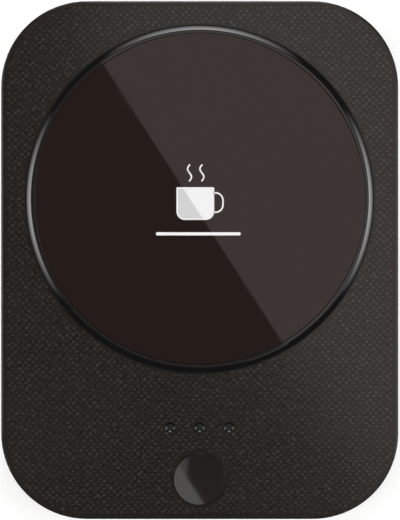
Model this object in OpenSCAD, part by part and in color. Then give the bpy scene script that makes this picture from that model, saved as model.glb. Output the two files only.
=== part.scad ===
// Electric mug warmer.
// Origin at the middle of the footprint, on the table. +Z is up, +Y is the rear, -Y the button end.

/* [Housing] */
// Width from side to side
body_w = 100; // [90:0.5:110]
// Length from front to rear
body_l = 130.4; // [117.4:0.2:145]
// Height of the top face above the table
body_h = 21; // [20.5:0.25:26]
// Radius of the upright corners
corner_r = 21.6; // [18:0.2:24]
// Radius of the rounded edge round the top face
edge_r = 0.6; // [0.3:0.1:1.2]
// Radius of the rounded edge round the underside
under_edge_r = 1.5; // [0.5:0.1:1.8]
// Thickness of the side walls
wall_t = 2; // [1.6:0.1:2.3]
// Thickness of the top face
top_t = 2.2; // [2:0.1:2.6]
// Thickness of the base cover's floor
floor_t = 2; // [1.6:0.1:2.4]
// Height of the base cover's visible rim
rim_h = 3; // [2.6:0.1:3.6]
// Shadow gap between the two halves of the housing
seam_gap = 0.3; // [0.1:0.05:0.5]
// Height of the locating lip above the rim
lip_h = 1.6; // [1:0.1:2]
// Thickness of the locating lip
lip_t = 1.4; // [1:0.1:1.8]
// Side clearance of the locating lip
lip_gap = 0.2; // [0.1:0.05:0.4]

/* [Feet and vents] */
// Height of the feet below the base
foot_h = 2; // [1.5:0.1:4]
// Radius of a foot
foot_r = 5; // [4:0.1:5.6]
// Depth of the pocket that a foot is glued into
foot_pocket = 0.8; // [0.4:0.1:1]
// Distance of a foot from the side of the housing
foot_from_side = 15; // [14:0.5:18]
// Distance of a foot from the end of the housing
foot_from_end = 12.7; // [12:0.1:15]
// Width of a vent slot
vent_w = 2; // [1.5:0.1:2.5]
// Length of a vent slot, end to end
vent_l = 18; // [12:0.5:22]
// Distance between neighbouring slots
vent_pitch = 5; // [4:0.1:5.5]
// Number of slots in a bank
vent_count = 9; // [5:1:9]

/* [Hot plate] */
// Least distance of the glass disc from the sides of the housing
glass_to_side = 8.4; // [8.2:0.1:10.6]
// Distance of the glass disc from the rear face
glass_to_rear = 8.2; // [8:0.1:8.6]
// Least distance of the glass disc from the front face, behind which the board and its plugs lie
glass_to_front = 39; // [38.8:0.1:42.6]
// Thickness of the glass disc
glass_t = 3; // [2.6:0.1:3.4]
// Width of the ground bevel round the glass
glass_bevel = 0.15; // [0.1:0.05:0.6]
// Height of the glass above the housing's top face
glass_rise = 0.5; // [0.2:0.1:0.8]
// Gap round the glass, inside the ring
glass_gap = 0.12; // [0.08:0.02:0.3]
// Width of the ring's flat land between the glass and the bead
land_w = 0.63; // [0.4:0.01:0.8]
// Drop of that land below the glass
land_drop = 0.05; // [0:0.05:0.2]
// Width of the ring's bead, whose top falls away outwards
bead_w = 1.3; // [1:0.1:1.4]
// Radius of the curve of that top
bead_arc_r = 3.3; // [3:0.1:5]
// Slope of that curve at the bead's inner edge, in degrees
bead_slope = 13; // [0:1:15]
// Height of the bead above the housing's top face
bead_rise = 0.9; // [0.7:0.05:1]
// Gap between the ring and the top cover
ring_gap = 0.1; // [0.1:0.05:0.3]
// Width of the ring's flange, under the top cover
flange_w = 2.85; // [2:0.05:2.9]
// Width of the ledge that carries the glass
ledge_w = 2.5; // [2:0.05:3]
// Thickness of the ledge
ledge_t = 1.2; // [1:0.1:1.6]
// Thickness of the gasket under the glass
gasket_t = 0.5; // [0.3:0.05:0.7]

/* [Heater] */
// Thickness of the heat spreader
spreader_t = 1.5; // [1.2:0.1:1.6]
// Thickness of the element's film
film_t = 0.5; // [0.3:0.05:0.6]
// Thickness of the element's track
track_t = 0.3; // [0.2:0.05:0.4]
// Width of the element's track
track_w = 2; // [1.5:0.1:2.4]
// Radius of the track's innermost turn
track_inner_r = 9.1; // [8:0.1:11]
// Number of turns of the track
track_turns = 8; // [6:2:8]
// Thickness of the insulation disc
insulation_t = 2.6; // [2.3:0.1:3]
// Thickness of the heater tray's sheet
tray_t = 1.2; // [0.8:0.1:1.4]
// Radius of the thermistor's head
thermistor_r = 1.5; // [1:0.1:2]
// Size of the thermal fuse's case
fuse_size = [7, 4.5, 2.2];

/* [Button] */
// Radius of the push button
button_r = 6.55; // [6:0.05:6.8]
// Distance of the button's centre from the front face
button_to_front = 10.1; // [10:0.1:11]
// Running clearance between the button and its guide
button_gap = 0.1; // [0.05:0.01:0.1]
// Depth of the dish in the button's face
dish_depth = 0.79; // [0.3:0.01:1]
// Travel of the button
button_travel = 0.8; // [0.5:0.1:0.9]
// Wall thickness of the button
button_wall = 1.3; // [1:0.1:1.6]
// Height of the button's retaining flange
button_flange_t = 0.8; // [0.6:0.1:1]
// Width of the button's retaining flange
button_flange_w = 1.1; // [0.9:0.05:1.2]
// Rest gap between that flange and the guide it stops against
stop_gap = 0.2; // [0.1:0.05:0.3]
// Depth of the guide below the top face's underside
guide_h = 1.9; // [1.5:0.1:2.1]
// Thickness of the guide
guide_t = 1.35; // [1.2:0.05:1.6]
// Width of the keys that keep the button from turning
key_w = 1.2; // [1:0.1:1.6]

/* [Switch] */
// Width of the square switch
switch_w = 12; // [10:0.5:12]
// Height of the switch's case
switch_h = 3.3; // [3:0.1:3.6]
// Height of the round neck on the case
switch_neck_h = 0.6; // [0.4:0.1:0.8]
// Radius of the plunger
plunger_r = 3.4; // [2.5:0.1:3.6]
// Running clearance of the plunger in the case
plunger_gap = 0.05; // [0.02:0.01:0.1]

/* [Lamps] */
// Distance of the row of lamps behind the button's centre
lamps_behind_button = 13.05; // [12.6:0.05:14]
// Distance between neighbouring lamps
lamp_pitch = 7.4; // [7:0.1:9]
// Radius of a light pipe's tip, which shows in the top face
pipe_tip_r = 1.22; // [1:0.02:1.3]
// Radius of a light pipe's body
pipe_r = 1.8; // [1.6:0.1:2]
// Radius of the flat in the middle of the pipe's dished tip
dish_flat_r = 0.86; // [0.6:0.02:0.9]
// Depth of that dish
pipe_dish = 0.22; // [0.1:0.01:0.25]

/* [Power inlet] */
// Width of the pocket for the moulded end of the plug
pocket_w = 12.8; // [12.6:0.1:14]
// Height of that pocket
pocket_h = 7.2; // [6.8:0.1:7.4]
// Depth of that pocket
pocket_depth = 2; // [1.6:0.1:2]
// Thickness of the wall behind the pocket
pocket_wall = 1.2; // [1:0.1:1.2]
// Outer width of the receptacle
shell_w = 8.94; // [8.9:0.01:9]
// Outer height of the receptacle
shell_h = 3.26; // [3.2:0.01:3.3]
// Length of the receptacle
shell_l = 7.2; // [6.8:0.1:7.2]
// Sheet thickness of the receptacle
shell_t = 0.3; // [0.2:0.05:0.35]
// Width of the tongue in the receptacle
tongue_w = 6.7; // [6.6:0.05:6.8]
// Thickness of the tongue
tongue_t = 0.7; // [0.6:0.05:0.8]
// Depth of the receptacle's centre below the top face
inlet_depth = 10; // [9.9:0.1:10.2]

/* [Boards] */
// Thickness of both circuit boards
board_t = 1.6; // [1:0.2:1.8]
// Width of the main board
board_w = 64; // [58:0.5:70]
// Length of the main board
board_l = 29; // [28.4:0.1:29.4]
// Depth of the main board's face below the top face
board_depth = 11; // [10.9:0.1:11.2]
// Distance of the main board's screws from its sides
board_hole_from_side = 3.5; // [3.4:0.1:4]
// Distance of the main board's screws from its front and rear ends
board_hole_from_end = 5.2; // [5:0.1:6]
// Width of the inlet board
inlet_board_w = 57; // [56:0.5:60]
// Length of the inlet board
inlet_board_l = 11.5; // [10.5:0.5:12]

/* [Screws and posts] */
// Radius of a small screw's shank
screw_r = 1.2; // [1:0.05:1.3]
// Radius of a small screw's head
screw_head_r = 2.3; // [2.1:0.1:2.6]
// Height of a small screw's head
screw_head_h = 1.5; // [1.2:0.1:1.7]
// Depth that a small screw cuts into a post
screw_bite = 5; // [4:0.1:5.5]
// Radius of the posts for small screws
post_r = 2.6; // [2.4:0.1:2.7]
// Radius of a housing screw's shank
long_screw_r = 1.45; // [1.2:0.05:1.6]
// Radius of a housing screw's head
long_head_r = 2.6; // [2.3:0.1:2.8]
// Height of a housing screw's head
long_head_h = 2; // [1.6:0.1:2.2]
// Depth that a housing screw cuts into a post
long_screw_bite = 8; // [6:0.1:9]
// Radius of the posts for the housing screws
long_post_r = 3.4; // [3:0.1:3.5]
// Distance of the housing posts from the side of the housing
long_post_from_side = 8; // [7.6:0.1:8.6]
// Distance of the front pair of housing posts from the front of the housing
long_post_from_front = 31.2; // [30.8:0.1:32]
// Clearance between a shank and the post that it cuts into
pilot_gap = 0.05; // [0.02:0.01:0.1]
// Clearance between a shank and the hole that it passes through
hole_gap = 0.25; // [0.15:0.05:0.35]

/* [Hidden] */

$fn = 96;
// Overrun of a cut past the face that it opens
cut = 1;
// Overlap of shapes that are fused into one solid
fuse = 0.2;

// Faces of the housing
side_x = body_w / 2;
rear_y = body_l / 2;
front_y = -rear_y;
base_z = foot_h;
floor_z = base_z + floor_t;
seam_z = base_z + rim_h;
cover_z = seam_z + seam_gap;
lip_z = seam_z + lip_h;
ceiling_z = body_h - top_t;

// Places on the top face
glass_r = min(side_x - glass_to_side, (body_l - glass_to_rear - glass_to_front) / 2);
plate_y = rear_y - glass_to_rear - glass_r;
button_y = front_y + button_to_front;
lamp_y = button_y + lamps_behind_button;

// Ring and glass, from the glass outwards and downwards
ring_in = glass_r + glass_gap;
bead_in = ring_in + land_w;
ring_out = bead_in + bead_w;
opening_r = ring_out + ring_gap;
opening_chamfer = 0.1;
flange_r = ring_out + flange_w;
ledge_in = ring_in - ledge_w;
bead_z = body_h + bead_rise;
bead_centre_r = bead_in - bead_arc_r * sin(bead_slope);
bead_centre_z = bead_z - bead_arc_r * cos(bead_slope);
land_z = body_h + glass_rise - land_drop;
glass_z = body_h + glass_rise - glass_t;
ledge_z = glass_z - gasket_t;
ring_z = ledge_z - ledge_t;

// Heater stack, from the glass downwards
spreader_r = ledge_in - 0.6;
spreader_z = glass_z - spreader_t;
film_r = spreader_r - 1.1;
film_z = spreader_z - film_t;
track_z = film_z - track_t;
insulation_z = track_z - insulation_t;
tray_z = insulation_z - tray_t;
pan_r = ledge_in - 1;
insulation_r = pan_r - 0.2;
thermistor_gap = 0.3;
fuse_gap = 0.25;
fuse_place = [-14, plate_y - 10];
film_margin = 2.2;
track_outer_r = film_r - film_margin - track_w / 2;
track_pitch = (track_outer_r - track_inner_r) / (track_turns - 1);
track_gap = track_w + 1.2;
terminal_x = [-track_gap - 0.8, 0.6];
terminal_y = plate_y - track_outer_r;
lead_slot = [7.6, 3.4];
lead_slot_place = [(terminal_x[0] + terminal_x[1]) / 2, terminal_y];

// Tray screws stand on an orbit just outside the flange
ear_r = 3.2;
ear_orbit = flange_r + ear_r + 0.3;
ear_places = [for (a = [45:90:315]) [ear_orbit * cos(a), plate_y + ear_orbit * sin(a)]];

// Main board and what stands on it
board_z = body_h - board_depth;
board_y = front_y + wall_t + 1 + board_l / 2;
board_corner_r = 3;
board_hole_x = board_w / 2 - board_hole_from_side;
board_hole_y = board_l / 2 - board_hole_from_end;
board_places = [for (x = [-1, 1], y = [-1, 1]) [x * board_hole_x, board_y + y * board_hole_y]];
board_rear_y = board_y + board_l / 2;
connector_size = [6, 4.5, 4];
connector_y = board_rear_y - connector_size[1] / 2 - 0.4;
power_connector_x = -18;
sensor_connector_x = -5;
heater_connector_x = 12;
wire_up = 2.2;
capacitor_from_side = 10;
transistor_from_side = 18;
chip_from_side = 15;
capacitor_x = board_w / 2 - capacitor_from_side;
transistor_x = board_w / 2 - transistor_from_side;
chip_x = chip_from_side - board_w / 2;

// Switch and button, upwards from the board
switch_z = board_z + switch_h;
switch_neck_z = switch_z + switch_neck_h;
plunger_top_z = switch_neck_z + button_travel + 0.5;
plunger_low_z = switch_z - 0.6;
guide_z = ceiling_z - guide_h;
button_flange_z = guide_z - stop_gap - button_flange_t;
button_inner_r = button_r - button_wall;
button_flange_r = button_r + button_flange_w;
guide_in = button_r + button_gap;
guide_out = guide_in + guide_t;
key_out = button_r + 0.7;
key_gap = 0.2;
dish_r = (button_r * button_r + dish_depth * dish_depth) / (2 * dish_depth);

// Lamps
led_size = [3.5, 2.8, 1.9];
pipe_fit = 0.03;
pipe_low_z = board_z + led_size[2] + 0.3;
pipe_rim_z = body_h - 0.02;
pipe_rim = 0.03;
pipe_boss_h = 3;
pipe_boss_t = 0.9;

// Inlet, behind the rear wall
inlet_z = body_h - inlet_depth;
pocket_y = rear_y - pocket_depth;
pocket_rim = 0.8;
shell_fit = 0.1;
shell_mouth_y = pocket_y - 0.1;
shell_back_y = shell_mouth_y - shell_l;
tongue_l = 4.5;
inlet_board_z = inlet_z - shell_h / 2;
inlet_board_y = rear_y - wall_t - 1.6 - inlet_board_l / 2;
inlet_places = [for (x = [-1, 1]) [x * (inlet_board_w / 2 - 3.5), rear_y - wall_t - post_r - 2.1]];
inlet_connector_x = -18;
inlet_connector_back = 2;
inlet_connector_place = [inlet_connector_x, inlet_places[0][1] - inlet_connector_back];

// Leads, under the heater tray
power_lead_r = 0.75;
heater_lead_r = 0.75;
sensor_lead_r = 0.45;
run_drop = 1.4;
run_z = tray_z - run_drop;
lead_out = 4.5;
lead_gap = 0.12;
power_lead_apart = 1.2;
heater_lead_apart = 1.4;
sensor_lead_apart = 0.7;
sensor_lead_sway = 4;
board_wire_z = board_z + wire_up;
inlet_wire_z = inlet_board_z + wire_up;
connector_face_y = connector_y + connector_size[1] / 2 + lead_gap;
inlet_face_y = inlet_connector_place[1] - connector_size[1] / 2 - lead_gap;

// Housing screws: the front pair beside the board, the rear pair beside the ring's flange
long_post_x = side_x - long_post_from_side;
long_orbit = flange_r + long_post_r + 0.6;
long_rear_y = plate_y + sqrt(max(long_orbit * long_orbit - long_post_x * long_post_x, 0));
long_places = [for (x = [-1, 1], y = [front_y + long_post_from_front, long_rear_y]) [x * long_post_x, y]];
sink_web = 2;
sink_depth = 3;
long_web_z = base_z + sink_depth;
long_post_z = long_web_z + sink_web;
long_tip_z = long_post_z + long_screw_bite;
sink_wall = 1.6;

foot_places = [side_x - foot_from_side, rear_y - foot_from_end];

// Two banks of vent slots under the plate, with a bar of floor between them
vent_bar = 6;
vent_places = [for (i = [0:vent_count - 1]) (i - (vent_count - 1) / 2) * vent_pitch];

// ---- shared shapes ----

// An upright block with round corners, standing on z = 0
module corner_block(w, l, r, h) {
    cx = w / 2 - r;
    cy = l / 2 - r;
    translate([-w / 2, -cy, 0]) cube([w, 2 * cy, h]);
    translate([-cx, -l / 2, 0]) cube([2 * cx, l, h]);
    for (x = [-cx, cx], y = [-cy, cy]) translate([x, y, 0]) cylinder(r = r, h = h);
}

// Section through the edge of a slab, from a corner's axis out to its face
module edge_section(r, h, top_r, low_r) {
    difference() {
        square([r, h]);
        if (top_r > 0) translate([r - top_r, h - top_r]) difference() {
            square(top_r + cut);
            circle(r = top_r);
        }
        if (low_r > 0) translate([r - low_r, low_r]) difference() {
            translate([0, -low_r - cut]) square(low_r + cut);
            circle(r = low_r);
        }
    }
}

// A slab with round corners and rounded edges: a core, four straight edges and four turned corners
module soft_slab(w, l, r, h, top_r = 0, low_r = 0) {
    cx = w / 2 - r;
    cy = l / 2 - r;
    translate([-cx, -cy, 0]) cube([2 * cx, 2 * cy, h]);
    for (turn = [0, 180]) rotate([0, 0, turn]) {
        translate([cx, 0, 0]) rotate([90, 0, 0])
            linear_extrude(height = 2 * cy, center = true) edge_section(r, h, top_r, low_r);
        rotate([0, 0, 90]) translate([cy, 0, 0]) rotate([90, 0, 0])
            linear_extrude(height = 2 * cx, center = true) edge_section(r, h, top_r, low_r);
        translate([cx, cy, 0]) rotate_extrude(angle = 90) edge_section(r, h, top_r, low_r);
        translate([-cx, cy, 0]) rotate([0, 0, 90])
            rotate_extrude(angle = 90) edge_section(r, h, top_r, low_r);
    }
}

// A flat-sided bar with round ends, lying along X
module round_bar(w, h, l) {
    cube([w - h, l, h], center = true);
    for (x = [-1, 1]) translate([x * (w - h) / 2, 0, 0]) rotate([90, 0, 0])
        cylinder(r = h / 2, h = l, center = true);
}

// An upright slot with round ends, long way along Y
module slot(w, l, h) {
    translate([-w / 2, -(l - w) / 2, 0]) cube([w, l - w, h]);
    for (y = [-1, 1]) translate([0, y * (l - w) / 2, 0]) cylinder(r = w / 2, h = h);
}

// A flat ring
module band(outer, inner, h) {
    difference() {
        cylinder(r = outer, h = h);
        translate([0, 0, -cut]) cylinder(r = inner, h = h + 2 * cut);
    }
}

// A pan-head screw with its head's underside on z = 0 and its shank upwards
module screw(shank_r, shank_l, head_r, head_h) {
    cylinder(r = shank_r, h = shank_l);
    difference() {
        rotate([180, 0, 0]) rotate_extrude() edge_section(head_r, head_h, head_h * 0.4, 0);
        for (turn = [0, 90]) rotate([0, 0, turn])
            translate([0, 0, -head_h]) cube([head_r * 1.2, head_r * 0.25, head_h], center = true);
    }
}

module at(places) {
    for (place = places) translate([place[0], place[1], 0]) children();
}

// Bars to both sides of the button, for its keys and for the slots that the keys run in
module key_bars(gap) {
    for (turn = [0, 180]) rotate([0, 0, turn]) translate([button_r - fuse, -key_w / 2 - gap, -guide_h])
        cube([key_out + gap - button_r + fuse, key_w + 2 * gap, 2 * guide_h]);
}

// ---- leads: a smooth path through a few chosen points, swept as a tube ----

function spline(a, b, c, d, t) =
    0.5 * (2 * b + (c - a) * t + (2 * a - 5 * b + 4 * c - d) * t * t
    + (3 * b - a - 3 * c + d) * t * t * t);

function smooth(points, steps) = let (last = len(points) - 1) concat(
    [for (i = [0:last - 1], s = [0:steps - 1])
        spline(points[max(i - 1, 0)], points[i], points[i + 1], points[min(i + 2, last)], s / steps)],
    [points[last]]);

function unit(v) = v / norm(v);

function heading(path, i) = unit(path[min(i + 1, len(path) - 1)] - path[max(i - 1, 0)]);

// No lead runs along X, so X gives every ring of the tube its turn
function ring_at(centre, ahead, r, sides) =
    let (across = unit(cross(ahead, [1, 0, 0])), third = cross(across, ahead))
    [for (k = [0:sides - 1]) centre + r * (cos(360 * k / sides) * third + sin(360 * k / sides) * across)];

module lead(points, r, sides = 8) {
    path = smooth(points, 4);
    last = len(path) - 1;
    rings = [for (i = [0:last]) each ring_at(path[i], heading(path, i), r, sides)];
    walls = [for (i = [0:last - 1], k = [0:sides - 1]) let (n = (k + 1) % sides, a = i * sides)
        each [[a + k, a + n, a + sides + k], [a + n, a + sides + n, a + sides + k]]];
    caps = [for (k = [1:sides - 2])
        each [[0, k + 1, k], [last * sides, last * sides + k, last * sides + k + 1]]];
    polyhedron(points = rings, faces = concat(walls, caps));
}

// ---- housing ----

module base_cover() {
    color("#2b2a28") difference() {
        union() {
            difference() {
                translate([0, 0, base_z])
                    soft_slab(body_w, body_l, corner_r, rim_h, 0, under_edge_r);
                translate([0, 0, floor_z])
                    corner_block(body_w - 2 * wall_t, body_l - 2 * wall_t, corner_r - wall_t, rim_h);
            }
            base_lip();
            at(long_places) translate([0, 0, base_z + fuse])
                cylinder(r = long_head_r + hole_gap + sink_wall, h = long_post_z - base_z - fuse);
            base_ribs();
        }
        at(long_places) {
            translate([0, 0, base_z - cut])
                cylinder(r = long_head_r + hole_gap, h = sink_depth + cut);
            translate([0, 0, base_z]) cylinder(r = long_screw_r + hole_gap, h = long_post_z);
        }
        for (x = [-1, 1], y = [-1, 1])
            translate([x * foot_places[0], y * foot_places[1], base_z - cut])
                cylinder(r = foot_r + hole_gap, h = foot_pocket + cut);
        for (x = vent_places, bank = [-1, 1])
            translate([x, plate_y + bank * (vent_l + vent_bar) / 2, base_z - cut])
                slot(vent_w, vent_l, floor_t + 2 * cut);
    }
}

// The lip stands inside the rim, runs up into the top cover and leaves room for the plug's pocket
module base_lip() {
    out = wall_t + lip_gap;
    in = out + lip_t;
    notch_w = pocket_w + 2 * pocket_rim + 1;
    difference() {
        translate([0, 0, floor_z - fuse])
            corner_block(body_w - 2 * out, body_l - 2 * out, corner_r - out, lip_z - floor_z + fuse);
        translate([0, 0, floor_z - fuse - cut])
            corner_block(body_w - 2 * in, body_l - 2 * in, corner_r - in, lip_z - floor_z + fuse + 2 * cut);
        translate([-notch_w / 2, rear_y - in - cut, seam_z - 0.6])
            cube([notch_w, in + cut, lip_h + cut]);
    }
}

// Two ribs across the floor stiffen it ahead of the vents and behind them
module base_ribs() {
    rib_t = 1.2;
    rib_h = 1.5;
    reach = vent_l + vent_bar / 2 + 4;
    for (y = [-1, 1]) translate([-side_x + wall_t + lip_t, plate_y + y * reach - rib_t / 2, floor_z - fuse])
        cube([body_w - 2 * (wall_t + lip_t), rib_t, rib_h + fuse]);
}

module top_cover() {
    color("#353331") difference() {
        union() {
            difference() {
                translate([0, 0, cover_z])
                    soft_slab(body_w, body_l, corner_r, body_h - cover_z, edge_r, 0);
                translate([0, 0, cover_z - cut])
                    corner_block(body_w - 2 * wall_t, body_l - 2 * wall_t, corner_r - wall_t,
                        ceiling_z - cover_z + cut);
            }
            hanging_posts(ear_places, post_r, ring_z);
            hanging_posts(board_places, post_r, board_z);
            hanging_posts(inlet_places, post_r, inlet_board_z);
            hanging_posts(long_places, long_post_r, long_post_z);
            post_ribs();
            hanging_posts([[0, button_y]], guide_out, guide_z);
            for (i = [-1:1]) hanging_posts([[i * lamp_pitch, lamp_y]], pipe_r + pipe_fit + pipe_boss_t,
                ceiling_z - pipe_boss_h);
            pocket_back();
        }
        pilots(ear_places, screw_r, ring_z, ceiling_z + 0.8);
        pilots(board_places, screw_r, board_z, ceiling_z);
        pilots(inlet_places, screw_r, inlet_board_z, ceiling_z);
        pilots(long_places, long_screw_r, long_post_z, long_tip_z + 0.5);
        plate_opening();
        button_opening();
        for (i = [-1:1]) translate([i * lamp_pitch, lamp_y, 0]) lamp_opening();
        plug_opening();
    }
}

// Posts that hang from the underside of the top face down to a given height
module hanging_posts(places, r, low_z) {
    at(places) translate([0, 0, low_z]) cylinder(r = r, h = ceiling_z - low_z + fuse);
}

module pilots(places, r, low_z, high_z) {
    at(places) translate([0, 0, low_z - cut]) cylinder(r = r + pilot_gap, h = high_z - low_z + cut);
}

// A rib ties each housing post to the side wall
module post_ribs() {
    rib_t = 1.2;
    rib_low_z = long_post_z + 3;
    for (place = long_places) mirror([place[0] < 0 ? 1 : 0, 0, 0])
        translate([long_post_x, place[1] - rib_t / 2, rib_low_z])
            cube([side_x - wall_t + fuse - long_post_x, rib_t, ceiling_z - rib_low_z + fuse]);
}

module plate_opening() {
    translate([0, plate_y, ceiling_z - cut]) cylinder(r = opening_r, h = top_t + 2 * cut);
    translate([0, plate_y, body_h - opening_chamfer])
        cylinder(r1 = opening_r, r2 = opening_r + opening_chamfer + cut, h = opening_chamfer + cut);
}

module button_opening() {
    mouth_chamfer = 0.1;
    translate([0, button_y, guide_z - cut]) cylinder(r = guide_in, h = body_h - guide_z + 2 * cut);
    translate([0, button_y, body_h - mouth_chamfer])
        cylinder(r1 = guide_in, r2 = guide_in + mouth_chamfer + cut, h = mouth_chamfer + cut);
    translate([0, button_y, guide_z]) key_bars(key_gap);
}

// A close hole for the tip and a wider seat for the pipe's body
module lamp_opening() {
    translate([0, 0, ceiling_z - cut]) cylinder(r = pipe_tip_r + pipe_fit, h = top_t + 2 * cut);
    translate([0, 0, ceiling_z - pipe_boss_h - cut]) cylinder(r = pipe_r + pipe_fit, h = pipe_boss_h + cut);
}

// Thicker wall behind the plug's pocket
module pocket_back() {
    depth = pocket_depth + pocket_wall - wall_t;
    translate([0, pocket_y - pocket_wall + (depth + fuse) / 2, inlet_z])
        cube([pocket_w + 2 * pocket_rim, depth + fuse, pocket_h + 2 * pocket_rim], center = true);
}

module plug_opening() {
    translate([0, pocket_y + pocket_depth, inlet_z]) round_bar(pocket_w, pocket_h, 2 * pocket_depth);
    translate([0, pocket_y, inlet_z])
        round_bar(shell_w + 2 * shell_fit, shell_h + 2 * shell_fit, 2 * (pocket_wall + cut));
}

module foot(x, y) {
    color("#1c1c1c") translate([x * foot_places[0], y * foot_places[1], 0])
        rotate_extrude() edge_section(foot_r, foot_h + foot_pocket, 0, foot_h * 0.4);
}

module housing_screws() {
    color("silver") at(long_places) translate([0, 0, long_web_z])
        screw(long_screw_r, long_tip_z - long_web_z, long_head_r, long_head_h);
}

// ---- hot plate ----

// Sleeve with a flat land round the glass, a rounded bead, a ledge that carries the glass and a flange
// under the top cover
module plate_ring() {
    color("#0d0d0e") translate([0, plate_y, 0]) rotate_extrude() {
        translate([ring_in, ring_z]) square([land_w, land_z - ring_z]);
        translate([bead_in, ring_z]) square([bead_w, bead_centre_z - ring_z]);
        intersection() {
            translate([bead_centre_r, bead_centre_z]) circle(r = bead_arc_r);
            translate([bead_in, bead_centre_z]) square([bead_w, bead_z - bead_centre_z]);
        }
        translate([ledge_in, ring_z]) square([ring_in - ledge_in, ledge_t]);
        translate([ring_out, ring_z]) square([flange_w, ceiling_z - ring_z]);
    }
}

module glass_plate() {
    top = glass_z + glass_t;
    color("#1f1b19") translate([0, plate_y, 0]) rotate_extrude()
        polygon([[0, glass_z], [glass_r, glass_z], [glass_r, top - glass_bevel],
            [glass_r - glass_bevel, top], [0, top]]);
}

module glass_gasket() {
    color("#3a3a3c") translate([0, plate_y, ledge_z]) band(glass_r, ledge_in, gasket_t);
}

module heat_spreader() {
    color("#b9bcc0") translate([0, plate_y, spreader_z]) cylinder(r = spreader_r, h = spreader_t);
}

// Film disc with an etched track on its underside: concentric turns with a gap at the front, linked
// at alternate sides of that gap. The inner end comes back out through the gap.
module heating_element() {
    color("#a5672c") translate([0, plate_y, 0]) {
        translate([0, 0, film_z]) difference() {
            cylinder(r = film_r, h = film_t);
            translate([0, 0, -cut]) cylinder(r = thermistor_r + thermistor_gap, h = film_t + 2 * cut);
        }
        translate([0, 0, track_z]) {
            for (i = [0:track_turns - 1]) track_turn(turn_r(i));
            for (i = [0:track_turns - 2]) track_link(i, i % 2 == 0 ? 1 : -1);
            translate([-track_gap, -turn_r(track_turns - 1) - track_w / 2, 0])
                cube([track_gap + terminal_x[1], track_w, track_t]);
            translate([terminal_x[1] - track_w / 2, -turn_r(0), 0])
                cube([track_w, turn_r(0) - turn_r(track_turns - 1) + track_w / 2, track_t]);
        }
    }
}

function turn_r(i) = track_outer_r - i * track_pitch;

module track_turn(r) {
    open = asin(track_gap / r);
    rotate([0, 0, open - 90]) rotate_extrude(angle = 360 - 2 * open)
        translate([r - track_w / 2, 0]) square([track_w, track_t]);
}

module track_link(i, side) {
    reach = track_w / 2;
    translate([side * (track_gap + reach) - reach, -turn_r(i) + 0.4, 0])
        cube([track_w, track_pitch + reach - 0.4, track_t]);
}

module insulation_disc() {
    color("#d8d3c6") difference() {
        translate([0, plate_y, insulation_z]) cylinder(r = insulation_r, h = insulation_t);
        translate([0, plate_y, insulation_z - cut])
            cylinder(r = thermistor_r + thermistor_gap, h = insulation_t + 2 * cut);
        at([lead_slot_place]) translate([0, 0, insulation_z + insulation_t / 2])
            cube([lead_slot[0], lead_slot[1], insulation_t + 2 * cut], center = true);
        translate([fuse_place[0], fuse_place[1], track_z - fuse_size[2] / 2])
            cube([fuse_size[0] + 7, fuse_size[1] + 2 * fuse_gap, fuse_size[2] + 2 * fuse_gap], center = true);
    }
}

// Pressed pan: a dish for the insulation, a flange under the ring and four ears for its screws
module heater_tray() {
    color("#9a9ea3") difference() {
        union() {
            translate([0, plate_y, 0]) rotate_extrude() {
                translate([0, tray_z]) square([pan_r + tray_t, tray_t]);
                translate([pan_r, tray_z]) square([tray_t, ring_z - tray_z]);
                translate([pan_r, ring_z - tray_t]) square([flange_r - pan_r, tray_t]);
            }
            for (a = [45:90:315]) translate([0, plate_y, ring_z - tray_t]) rotate([0, 0, a]) {
                translate([ear_orbit, 0, 0]) cylinder(r = ear_r, h = tray_t);
                translate([flange_r - 1.5, -ear_r, 0]) cube([ear_orbit - flange_r + 1.5, 2 * ear_r, tray_t]);
            }
        }
        at(ear_places) translate([0, 0, ring_z - tray_t - cut])
            cylinder(r = screw_r + hole_gap, h = tray_t + 2 * cut);
        translate([0, plate_y, tray_z - cut])
            cylinder(r = thermistor_r + thermistor_gap, h = tray_t + 2 * cut);
        at([lead_slot_place]) translate([0, 0, tray_z + tray_t / 2])
            cube([lead_slot[0], lead_slot[1], tray_t + 2 * cut], center = true);
    }
}

module tray_screws() {
    color("silver") at(ear_places) translate([0, 0, ring_z - tray_t])
        screw(screw_r, tray_t + ceiling_z - ring_z + 0.5, screw_head_r, screw_head_h);
}

module thermistor() {
    color("#2f5d3a") translate([0, plate_y, tray_z + tray_t / 2])
        cylinder(r = thermistor_r, h = spreader_z - tray_z - tray_t / 2);
}

module thermal_fuse() {
    leg_l = 2.5;
    color("#e8e4da") translate([fuse_place[0], fuse_place[1], track_z - fuse_size[2] / 2]) {
        cube(fuse_size, center = true);
        rotate([0, 90, 0]) cylinder(r = 0.35, h = fuse_size[0] + 2 * leg_l, center = true);
    }
}

// ---- main board ----

module main_board() {
    color("#1f5c3a") difference() {
        translate([0, board_y, board_z - board_t]) corner_block(board_w, board_l, board_corner_r, board_t);
        at(board_places) translate([0, 0, board_z - board_t - cut])
            cylinder(r = screw_r + hole_gap, h = board_t + 2 * cut);
    }
}

module main_board_screws() {
    color("silver") at(board_places) translate([0, 0, board_z - board_t])
        screw(screw_r, board_t + screw_bite, screw_head_r, screw_head_h);
}

module control_chip() {
    body = [9.9, 3.9, 1.4];
    legs = 8;
    leg_pitch = 1.27;
    stand = 0.15;
    color("#222222") translate([chip_x, button_y + 4, board_z]) {
        translate([-body[0] / 2, -body[1] / 2, stand]) cube(body);
        for (i = [0:legs - 1], side = [-1, 1])
            translate([(i - (legs - 1) / 2) * leg_pitch, side * (body[1] / 2 + 0.4), 0.25])
                cube([0.4, 1.4, 0.5], center = true);
    }
}

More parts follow.
